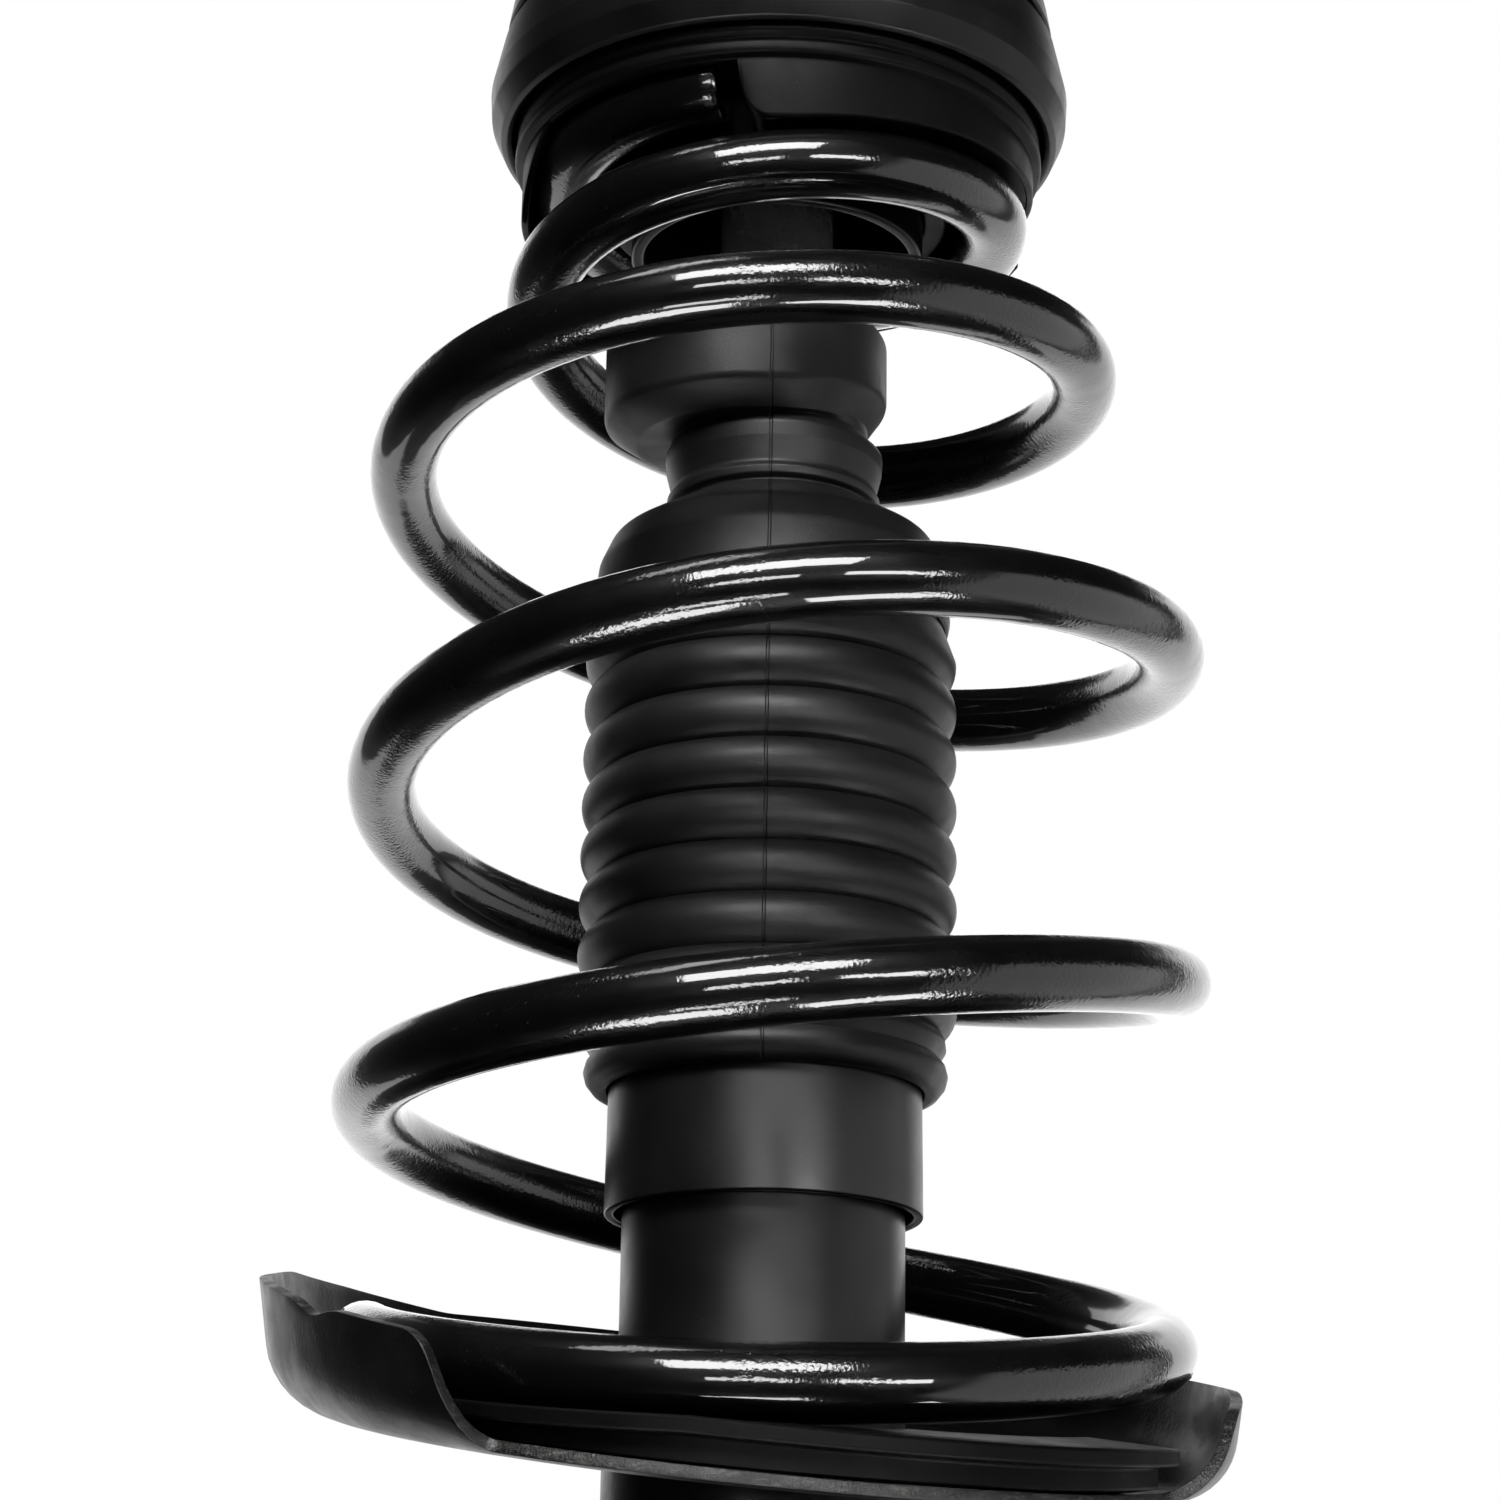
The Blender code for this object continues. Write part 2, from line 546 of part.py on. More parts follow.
def build_bearing():
    """Turn the two races and set the balls in their cage between them."""
    low = SEAT_TOP + GAP
    middle = (RACE_INNER + RACE_OUTER) / 2
    groove, depth = 2.2 * MM, 1.1 * MM
    lower = [(RACE_OUTER, low + RACE_HEIGHT), (RACE_OUTER, low + 1.5 * MM),
             (RACE_OUTER - 1.5 * MM, low), (RACE_INNER, low),
             (RACE_INNER, low + RACE_HEIGHT), (middle - groove, low + RACE_HEIGHT),
             (middle, low + RACE_HEIGHT - depth), (middle + groove, low + RACE_HEIGHT)]
    turned("bearing_lower_race", lower, colour=BRIGHT, roughness=0.3, metallic=1.0)
    upper = [(radius, low + RACE_TOP - height) for radius, height in reversed(lower)]
    turned("bearing_upper_race", upper, colour=BRIGHT, roughness=0.3, metallic=1.0)
    level = low + RACE_HEIGHT + GAP + BALL_RADIUS
    cage = turned("bearing_balls", band(middle - 4.2 * MM, middle + 4.2 * MM,
                                        level - 1.3 * MM, level + 1.3 * MM), colour=BRIGHT, metallic=1.0)
    for ball in range(BALLS):
        angle = 2 * math.pi * (ball + 0.5) / BALLS
        bm = bmesh.new()
        bmesh.ops.create_uvsphere(bm, u_segments=6, v_segments=5, radius=BALL_RADIUS)
        place = (middle * math.cos(angle), middle * math.sin(angle), level)
        bmesh.ops.translate(bm, verts=bm.verts, vec=place)
        boolean(cage, add_cutter(f"ball_{ball + 1}", finish_mesh(bm, f"ball_{ball + 1}")), "UNION")


def build_housing():
    """Press the domed housing over the bearing."""
    sheet = HOUSING_SHEET
    top = ROOF_LEVEL + sheet
    foot = SEAT_TOP + 2 * GAP
    rise = top - foot
    outer = [(HOUSING_HOLE, top), (RACE_OUTER - 4.5 * MM, top), (RACE_OUTER, top - 1.2 * MM),
             (RACE_OUTER + 2.6 * MM, top - 0.21 * rise), (RACE_OUTER + 5.0 * MM, top - 0.42 * rise),
             (RACE_OUTER + 7.4 * MM, top - 0.73 * rise), (RACE_OUTER + 8.3 * MM, foot)]
    inner = [(RACE_OUTER + 5.8 * MM, foot), (RACE_OUTER + 4.9 * MM, top - 0.73 * rise),
             (RACE_OUTER + 2.7 * MM, top - 0.45 * rise), (RACE_OUTER + 0.9 * MM, ROOF_LEVEL - 2.6 * MM),
             (RACE_OUTER - 1.2 * MM, ROOF_LEVEL), (HOUSING_HOLE, ROOF_LEVEL)]
    turned("mount_housing", outer + inner, FINE, roughness=0.4)


def stud_places():
    """Plan angle and centre of each stud."""
    angles = (90.0, 210.0, 330.0)
    return [(a, (STUD_CIRCLE * math.cos(math.radians(a)), STUD_CIRCLE * math.sin(math.radians(a))))
            for a in angles]


def build_mount_plate():
    """Press the three-lobed plate with its raised rubber cup and stud holes."""
    outline = []
    for angle, centre in stud_places():
        outline += arc(centre, LOBE_MARGIN, angle - 62, angle + 62, 8)
    plate = add_part("mount_plate", prism_mesh("mount_plate", outline, PLATE_LEVEL, PLATE_TOP))
    well = CUP_RADIUS - 0.5 * HOUSING_SHEET
    boolean(plate, add_cutter("cup_well", turned_mesh(
        "cup_well", [(0, PLATE_TOP + 1 * MM), (well, PLATE_TOP + 1 * MM), (well, PLATE_LEVEL - 1 * MM),
                     (0, PLATE_LEVEL - 1 * MM)])))
    wall, roof = CUP_RADIUS - HOUSING_SHEET, CUP_TOP - HOUSING_SHEET
    cup = [(CUP_MOUTH, CUP_TOP), (CUP_RADIUS - 2.5 * MM, CUP_TOP), (CUP_RADIUS, CUP_TOP - 2.5 * MM),
           (CUP_RADIUS, PLATE_LEVEL), (wall, PLATE_LEVEL), (wall, roof - 1 * MM), (wall - 1 * MM, roof),
           (CUP_MOUTH, roof)]
    boolean(plate, add_cutter("rubber_cup", turned_mesh("rubber_cup", cup)), "UNION")
    for number, (_, centre) in enumerate(stud_places(), 1):
        hole = prism_mesh(f"stud_hole_{number}", arc(centre, STUD_RADIUS + GAP, 0, 330, 11),
                          PLATE_LEVEL - 1 * MM, PLATE_TOP + 1 * MM)
        boolean(plate, add_cutter(f"stud_hole_{number}", hole))


def build_studs():
    """Press the three studs up through the plate."""
    head_top = PLATE_LEVEL - GAP
    tip = PLATE_TOP + STUD_LENGTH
    outline = [(0, tip), (STUD_RADIUS - 1 * MM, tip), (STUD_RADIUS, tip - 1 * MM), (STUD_RADIUS, head_top),
               (STUD_HEAD, head_top), (STUD_HEAD, head_top - STUD_HEAD_HEIGHT),
               (0, head_top - STUD_HEAD_HEIGHT)]
    for number, (_, centre) in enumerate(stud_places(), 1):
        stud = turned(f"stud_{number}", outline, 12, colour=BRIGHT, metallic=1.0)
        stud.location = (*centre, 0.0)


def build_mount_core():
    """Mould the rubber in the cup round its steel core."""
    core_foot = SHOULDER + GAP
    turned("mount_core", [(CORE_RADIUS - 1 * MM, CUP_TOP + 1 * MM), (CORE_RADIUS, CUP_TOP),
                          (CORE_RADIUS, core_foot), (ROD_END_RADIUS + GAP, core_foot),
                          (ROD_END_RADIUS + GAP, CUP_TOP + 1 * MM)], COARSE, colour=BRIGHT, metallic=1.0)
    inner, outer = CORE_RADIUS + GAP, CUP_RADIUS - HOUSING_SHEET - GAP
    foot, top = PLATE_LEVEL + GAP, CUP_TOP - HOUSING_SHEET - GAP
    waist = (inner + outer) / 2
    turned("mount_rubber", [(waist, top - 2.5 * MM), (outer - 1.5 * MM, top), (outer, top - 1.5 * MM),
                            (outer, foot), (waist + 4 * MM, foot), (waist, foot + 2.5 * MM),
                            (waist - 4 * MM, foot), (inner, foot), (inner, top)],
           COARSE, colour=RUBBER, roughness=0.7)


def build_rod():
    """Turn the piston rod, with a shoulder under the mount and a spigot for the piston."""
    tip = SHOULDER + ROD_END_LENGTH
    outline = [(0, tip), (ROD_END_RADIUS - 1 * MM, tip), (ROD_END_RADIUS, tip - 1 * MM),
               (ROD_END_RADIUS, SHOULDER), (ROD_RADIUS, SHOULDER), (ROD_RADIUS, PISTON_TOP + GAP),
               (SPIGOT_RADIUS, PISTON_TOP + GAP), (SPIGOT_RADIUS, ROD_FOOT - 2 * MM),
               (0, ROD_FOOT - 2 * MM)]
    turned("piston_rod", outline, 24, colour=(0.7, 0.7, 0.7, 1), roughness=0.08, metallic=1.0)
    washer_foot = CUP_TOP + 1 * MM + GAP
    washer_top = washer_foot + WASHER_HEIGHT
    turned("rod_washer", band(ROD_END_RADIUS + GAP, WASHER_RADIUS, washer_foot, washer_top), COARSE,
           colour=BRIGHT, metallic=1.0)
    nut_foot = washer_top + GAP
    nut = prism_mesh("rod_nut", arc((0, 0), NUT_RADIUS, 0, 300, 5), nut_foot, nut_foot + NUT_HEIGHT)
    nut_part = add_part("rod_nut", nut, BRIGHT, metallic=1.0)
    bore = prism_mesh("nut_bore", arc((0, 0), ROD_END_RADIUS + GAP, 0, 345, 23),
                      nut_foot - 1 * MM, nut_foot + NUT_HEIGHT + 1 * MM)
    boolean(nut_part, add_cutter("nut_bore", bore))


def build_piston():
    """Turn the piston, its ring, its nut and the rebound stop on the rod."""
    bore = SPIGOT_RADIUS + GAP
    foot = PISTON_TOP - PISTON_HEIGHT
    middle = PISTON_TOP - PISTON_HEIGHT / 2
    groove = PISTON_RADIUS - RING_DEPTH - GAP
    half = RING_HEIGHT / 2 + GAP
    turned("piston", [(PISTON_RADIUS, PISTON_TOP), (PISTON_RADIUS, middle + half), (groove, middle + half),
                      (groove, middle - half), (PISTON_RADIUS, middle - half), (PISTON_RADIUS, foot),
                      (bore, foot), (bore, PISTON_TOP)], COARSE, colour=BRIGHT, metallic=1.0)
    turned("piston_ring", band(groove + GAP, PISTON_RADIUS, middle - RING_HEIGHT / 2,
                               middle + RING_HEIGHT / 2), COARSE, colour=RUBBER)
    turned("piston_nut", band(bore, bore + 4.5 * MM, foot - GAP - PISTON_NUT_HEIGHT, foot - GAP), 12,
           colour=BRIGHT, metallic=1.0)
    turned("rebound_stop", band(ROD_RADIUS + GAP, (ROD_RADIUS + PISTON_RADIUS) / 2 + 1.2 * MM,
                                STOP_TOP - STOP_HEIGHT + GAP, STOP_TOP), COARSE, colour=RUBBER)


def build_tube():
    """Turn the outer tube with its rolled top lip, and the pressed cap that closes its foot."""
    lip = TUBE_INNER - 6.0 * MM
    turned("strut_tube", [(lip, TUBE_TOP), (TUBE_RADIUS - 2 * MM, TUBE_TOP), (TUBE_RADIUS, TUBE_TOP - 2 * MM),
                          (TUBE_RADIUS, TUBE_FOOT), (TUBE_INNER, TUBE_FOOT),
                          (TUBE_INNER, TUBE_TOP - CRIMP + GAP), (lip, TUBE_TOP - CRIMP + GAP)],
           FINE, roughness=0.35)
    plug = TUBE_INNER - GAP
    skin = 2.5 * MM
    depth = TUBE_FOOT + 10 * MM
    turned("base_cap", [(plug, depth), (plug, TUBE_FOOT), (plug - 2 * MM, 1.2 * MM), (plug - 6 * MM, 0),
                        (0, 0), (0, skin), (plug - 7 * MM, skin), (plug - skin, TUBE_FOOT + 2 * MM),
                        (plug - skin, depth)], roughness=0.4)


def build_damper_inside():
    """Turn what the tube holds: the cylinder, its foot valve, the rod guide, bush and seal."""
    outer = CYLINDER_RADIUS + CYLINDER_WALL
    step = GUIDE_BASE - GAP
    turned("pressure_cylinder", band(CYLINDER_RADIUS, outer, VALVE_TOP + GAP, step), COARSE,
           colour=BRIGHT, metallic=1.0)
    foot = TUBE_FOOT + 0.5 * MM
    spigot = CYLINDER_RADIUS - GAP
    turned("base_valve", [(0, VALVE_TOP + 6 * MM), (spigot, VALVE_TOP + 6 * MM), (spigot, VALVE_TOP),
                          (outer, VALVE_TOP), (outer, foot + 5 * MM), (outer - 3 * MM, foot),
                          (5 * MM, foot), (5 * MM, foot + 5 * MM), (0, foot + 5 * MM)], COARSE,
           colour=BRIGHT, metallic=1.0)
    bore = ROD_RADIUS + GAP
    bush = bore + BUSH_WALL
    top = SEAL_BASE - GAP
    turned("rod_guide", [(TUBE_INNER - GAP, top), (TUBE_INNER - GAP, GUIDE_BASE), (spigot, GUIDE_BASE),
                         (spigot, GUIDE_BASE - GUIDE_NOSE), (bush + GAP, GUIDE_BASE - GUIDE_NOSE),
                         (bush + GAP, top)], COARSE, colour=BRIGHT, metallic=1.0)
    turned("guide_bush", band(bore, bush, GUIDE_BASE - GUIDE_NOSE, top), COARSE,
           colour=(0.35, 0.22, 0.1, 1), metallic=1.0)
    turned("rod_seal", band(bore, TUBE_INNER - GAP, SEAL_BASE, TUBE_TOP - CRIMP), COARSE, colour=RUBBER)


def build_striker_cap():
    """Press the cap over the tube's top, which the bump stop strikes and the boot's lip grips."""
    foot = TUBE_TOP - CAP_SKIRT
    bore = ROD_RADIUS + 3 * MM
    turned("striker_cap", [(bore, STRIKER), (CAP_OUTER - CAP_FLARE - 2 * MM, STRIKER),
                           (CAP_OUTER - CAP_FLARE, STRIKER - 2 * MM), (CAP_OUTER, foot), (CAP_INNER, foot),
                           (CAP_INNER - CAP_FLARE, TUBE_TOP + GAP), (bore, TUBE_TOP + GAP)],
           FINE, roughness=0.4)


def boot_outline():
    """Outline of the ribbed boot: outer side down, then inner side up."""
    top = TUBE_TOP + BOOT_TOP
    crest, valley = BOOT_CREST, BOOT_CREST - RIB_DEPTH
    neck = FIRST_CREST + 32.3 * MM
    bore = ROD_RADIUS + 2 * GAP
    chamber = ROD_RADIUS + BUMPER_WALL + 2 * GAP
    outer = [(chamber + BOOT_WALL, top), (chamber + BOOT_WALL, neck + 16.5 * MM),
             (LOBE_RADIUS, neck + 12.5 * MM), (LOBE_RADIUS, neck + 3 * MM), (NECK_RADIUS, neck),
             (crest - 8.9 * MM, neck - 4.5 * MM), (crest - 4.0 * MM, neck - 9 * MM),
             (crest - 1.4 * MM, neck - 15 * MM)]
    inner = [(chamber, neck - 1 * MM), (crest - 11.5 * MM, neck - 5.5 * MM),
             (crest - 6.2 * MM, neck - 11 * MM), (crest - 3.6 * MM, neck - 16 * MM)]
    for rib in range(RIBS):
        level = FIRST_CREST - rib * RIB_PITCH
        outer += [(crest, level), (valley, level - RIB_PITCH / 2)]
        inner += [(crest - BOOT_WALL, level), (valley - BOOT_WALL, level - RIB_PITCH / 2)]
    lip = FIRST_CREST - (RIBS + 0.25) * RIB_PITCH
    grip = CAP_OUTER + GAP
    outer += [(grip + 3.9 * MM, lip + 1.5 * MM), (grip + 3.9 * MM, lip - 2 * MM),
              (grip + 2.5 * MM, lip - 4 * MM)]
    inner += [(grip + 0.5 * MM, lip + 2 * MM), (grip, lip - 4 * MM)]
    return outer + inner[::-1] + [(chamber, top - 3.4 * MM), (bore, top - 3.4 * MM), (bore, top)]


def build_boot():
    """Mould the ribbed dust boot, with its off-centre head joined on."""
    boot = turned("dust_boot", boot_outline(), 24, colour=RUBBER, roughness=0.6)
    top = TUBE_TOP + BOOT_TOP
    bore = ROD_RADIUS + BUMPER_WALL + 2 * GAP + 0.5 * BOOT_WALL
    reach = bore - HEAD_SHIFT + 0.5 * MM
    head = [(reach, top - 0.6 * MM), (HEAD_RADIUS - 5 * MM, top - 0.6 * MM), (HEAD_RADIUS, top - 5 * MM),
            (HEAD_RADIUS, top - 15.5 * MM), (HEAD_RADIUS - 4.4 * MM, top - 21.5 * MM), (reach, top - 25 * MM)]
    solid = turned_mesh("boot_head", head[1:] + [(0, top - 27 * MM), (0, top - 0.6 * MM)], 24,
                        centre=HEAD_SHIFT)
    well = turned_mesh("head_well", [(0, top + 1 * MM), (bore, top + 1 * MM), (bore, top - 40 * MM),
                                     (0, top - 40 * MM)], 28)
    head_part = add_cutter("boot_head", solid)
    boolean(head_part, add_cutter("head_well", well))
    boolean(boot, head_part, "UNION")


def build_bumper():
    """Mould the bump stop, whose nose waits one travel over the striker cap."""
    foot = STRIKER + TRAVEL + GAP
    top = TUBE_TOP + BOOT_TOP - 3.4 * MM - GAP
    bore, outer = ROD_RADIUS + GAP, ROD_RADIUS + BUMPER_WALL
    waist = outer - 1.6 * MM
    third = (top - foot) / 3
    outline = [(outer, top), (outer, top - third + 3 * MM), (waist, top - third),
               (outer, top - third - 3 * MM), (outer, foot + third + 3 * MM), (waist, foot + third),
               (outer - 0.6 * MM, foot + third - 3 * MM), (bore + BUMPER_NOSE, foot), (bore, foot),
               (bore, top)]
    turned("jounce_bumper", outline, COARSE, colour=(0.6, 0.5, 0.3, 1), roughness=0.8)


def ear_silhouette(back):
    """Side outline of the bracket's ears in Y and Z, rounded about each bolt hole."""
    low, high = BOLT_HOLES[0], BOLT_HOLES[1]
    top = high[1] + EAR_ROUND
    return ([(back, BRACKET_BASE), (back, top - 2 * MM), (-BOLT_REACH / 2, top - 2 * MM)]
            + arc(high, EAR_ROUND, 90, 200, 6) + [(-EAR_REACH + 6 * MM, (low[1] + high[1]) / 2)]
            + arc(low, EAR_ROUND, 160, 270, 6) + [(-BOLT_REACH / 2, BRACKET_BASE)])


def cut_ears(obj, back):
    """Trim a bracket sheet to the ears' outline and drill its bolt holes."""
    reach = TUBE_RADIUS + 2 * EAR_SHEET
    name = obj.name
    outline = prism_mesh(f"{name}_outline", ear_silhouette(back), -reach, reach, "X")
    boolean(obj, add_cutter(f"{name}_outline", outline), "INTERSECT")
    for number, hole in enumerate(BOLT_HOLES, 1):
        drill = prism_mesh(f"{name}_hole_{number}", arc(hole, BOLT_RADIUS, 0, 337.5, 15), -reach, reach, "X")
        boolean(obj, add_cutter(f"{name}_hole_{number}", drill))


def bracket_side(inner_wall, radius):
    """Plan outline of one face of the wrapped bracket: ear, round the tube, ear."""
    start = math.degrees(math.acos(inner_wall / radius))
    end = EAR_REACH + 5 * MM
    return [(inner_wall, -end)] + arc((0, 0), radius, -start, 180 + start, 20) + [(-inner_wall, -end)]


def build_knuckle_bracket():
    """Press the bracket that wraps the tube, and the channel that lines its ears."""
    base, top = BRACKET_BASE - 2 * MM, BOLT_LEVELS[1] + EAR_ROUND + 2 * MM
    wall = SLOT / 2 + LINER_SHEET + GAP
    radius = TUBE_RADIUS + GAP
    outline = (bracket_side(wall + EAR_SHEET, radius + EAR_SHEET)
               + bracket_side(wall, radius)[::-1])
    bracket = add_part("knuckle_bracket", prism_mesh("knuckle_bracket", outline, base, top))
    cut_ears(bracket, TUBE_RADIUS + 2 * EAR_SHEET)
    half, face, end = SLOT / 2, -TUBE_RADIUS - GAP, -EAR_REACH - 5 * MM
    bend, thin = 5 * MM, LINER_SHEET
    right = ([(half + thin, end)] + arc((half + thin - bend, face - bend), bend, 0, 90, 4))
    inside = ([(half, end)] + arc((half + thin - bend, face - bend), bend - thin, 0, 90, 3))
    channel = (right + [(-x, y) for x, y in right[::-1]] + [(-x, y) for x, y in inside]
               + inside[::-1])
    liner = add_part("bracket_liner", prism_mesh("bracket_liner", channel, base, top))
    cut_ears(liner, face + 1 * MM)


def build_link_bracket():
    """Press the saddle and the tab that takes the anti-roll bar's link."""
    radius = TUBE_RADIUS + GAP
    root = radius + SADDLE_WALL
    hole = (root + TAB_REACH, TAB_BASE + TAB_HEIGHT / 2)
    end, half = hole[0] + TAB_HEIGHT / 2, TAB_SHEET / 2
    outer = arc((0, 0), root, -32, 32, 12)
    plan = ([point for point in outer if point[1] < -half] + [(root, -half), (end, -half)]
            + [(end, half), (root, half)] + [point for point in outer if point[1] > half]
            + arc((0, 0), radius, 32, -32, 12))
    top = TAB_BASE + TAB_HEIGHT
    bracket = add_part("link_bracket", prism_mesh("link_bracket", plan, TAB_BASE, top))
    side = ([(0, TAB_BASE - 1 * MM), (root, TAB_BASE - 1 * MM)]
            + arc(hole, TAB_HEIGHT / 2 - 2 * MM, -90, 90, 8) + [(root, top + 1 * MM), (0, top + 1 * MM)])
    boolean(bracket, add_cutter("tab_outline", prism_mesh("tab_outline", side, -radius, radius, "Y")),
            "INTERSECT")
    drill = prism_mesh("tab_hole", arc(hole, TAB_HOLE, 0, 330, 11), -radius, radius, "Y")
    boolean(bracket, add_cutter("tab_hole", drill))


def build_hose_bracket():
    """Press the shelf that holds the brake hose, open on its outer side."""
    radius = TUBE_RADIUS + GAP
    saddle = arc((0, 0), radius + HOSE_SHEET, 152, 208, 10) + arc((0, 0), radius, 208, 152, 10)
    bracket = add_part("hose_bracket", prism_mesh("hose_bracket", saddle, HOSE_LEVEL - 16 * MM,
                                                  HOSE_LEVEL + HOSE_SHEET))
    root = radius + HOSE_SHEET - 1 * MM
    end = radius + HOSE_REACH
    centre = (-end + 10 * MM, 0.0)
    shelf = ([(-root, 9 * MM)] + [(-end + 14 * MM, 13 * MM), (-end, 13 * MM), (-end, HOSE_NOTCH - 1 * MM)]
             + arc(centre, HOSE_NOTCH, 120, -120, 10)
             + [(-end, -HOSE_NOTCH + 1 * MM), (-end, -13 * MM), (-end + 14 * MM, -13 * MM), (-root, -9 * MM)])
    boolean(bracket, add_cutter("hose_shelf", prism_mesh("hose_shelf", shelf, HOSE_LEVEL,
                                                         HOSE_LEVEL + HOSE_SHEET)), "UNION")


def build_strut():
    """Build every piece of the strut."""
    build_tube()
    build_damper_inside()
    build_piston()
    build_rod()
    build_striker_cap()
    build_bumper()
    build_boot()
    build_pan()
    build_pan_collar()
    build_lower_isolator()
    build_spring()
    build_upper_isolator()
    build_upper_seat()
    build_bearing()
    build_housing()
    build_mount_core()
    build_mount_plate()
    build_studs()
    build_knuckle_bracket()
    build_link_bracket()
    build_hose_bracket()


clear_scene()
PARTS = new_collection("strut_assembly")
CUTTERS = new_collection("cutters")
build_strut()
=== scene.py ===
"""Looks of a front suspension strut: finishes, detailed pieces, studio and camera.

Lengths are metres and angles are degrees unless a name says otherwise. The origin is the middle
of the damper tube's flat base, +Z runs up the piston rod and -Y points at the camera.
"""
import logging
import math
from collections.abc import Callable, Iterable, Sequence
from dataclasses import dataclass, field
from enum import Enum

import bmesh
import bpy
from mathutils import Matrix, Quaternion, Vector
from mathutils.kdtree import KDTree
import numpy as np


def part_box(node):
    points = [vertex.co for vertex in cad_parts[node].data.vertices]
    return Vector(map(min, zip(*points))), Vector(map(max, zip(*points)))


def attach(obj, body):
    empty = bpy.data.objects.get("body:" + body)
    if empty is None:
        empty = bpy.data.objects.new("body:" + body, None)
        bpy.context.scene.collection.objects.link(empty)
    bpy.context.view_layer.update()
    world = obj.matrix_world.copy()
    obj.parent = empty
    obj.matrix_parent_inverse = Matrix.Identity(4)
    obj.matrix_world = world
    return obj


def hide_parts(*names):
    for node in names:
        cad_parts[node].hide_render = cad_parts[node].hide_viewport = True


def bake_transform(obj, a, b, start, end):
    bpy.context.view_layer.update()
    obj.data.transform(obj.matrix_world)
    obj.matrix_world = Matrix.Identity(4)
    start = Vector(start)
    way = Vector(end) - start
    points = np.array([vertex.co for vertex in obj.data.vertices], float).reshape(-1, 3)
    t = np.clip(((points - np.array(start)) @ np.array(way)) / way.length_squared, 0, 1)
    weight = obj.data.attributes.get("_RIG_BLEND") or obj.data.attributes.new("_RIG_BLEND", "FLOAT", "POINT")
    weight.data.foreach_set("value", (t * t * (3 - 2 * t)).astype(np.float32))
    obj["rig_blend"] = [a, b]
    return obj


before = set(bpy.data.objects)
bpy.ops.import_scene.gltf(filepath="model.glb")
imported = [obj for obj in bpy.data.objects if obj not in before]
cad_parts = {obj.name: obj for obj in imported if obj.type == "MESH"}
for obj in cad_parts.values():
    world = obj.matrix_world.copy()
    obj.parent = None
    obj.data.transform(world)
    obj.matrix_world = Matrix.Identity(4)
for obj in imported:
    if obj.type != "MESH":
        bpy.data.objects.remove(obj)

log = logging.getLogger("strut")

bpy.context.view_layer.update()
MM = 0.001
GAP = 0.3 * MM
Outline = list[tuple[float, float]]


class Body(Enum):
    """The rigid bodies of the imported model."""

    TOP_MOUNT = "top_mount"
    UPPER_SEAT = "upper_seat"
    DAMPER = "damper_body"


class Turn(Enum):
    """How many facets a turned piece has round its axis."""

    FINE = 160
    MEDIUM = 112
    SMALL = 64


# ---------------------------------------------------------------- levels that pieces share

TUBE_RADIUS = 25.5 * MM
TUBE_TOP = 255.5 * MM
ROD_RADIUS = 11.0 * MM
ROD_END_RADIUS = 7.0 * MM
SHOULDER = 465.7 * MM
ROD_TIP = 513.7 * MM
SEAT_LEVEL = 446.8 * MM
SEAT_TOP = 449.3 * MM
ROOF_LEVEL = 467.7 * MM
HOUSING_TOP = 470.2 * MM
PLATE_LEVEL = 470.5 * MM
PLATE_TOP = 474.5 * MM
CUP_TOP = 491.2 * MM
CAP_INNER = 27.0 * MM
CAP_OUTER = 28.75 * MM


# ---------------------------------------------------------------- node helpers


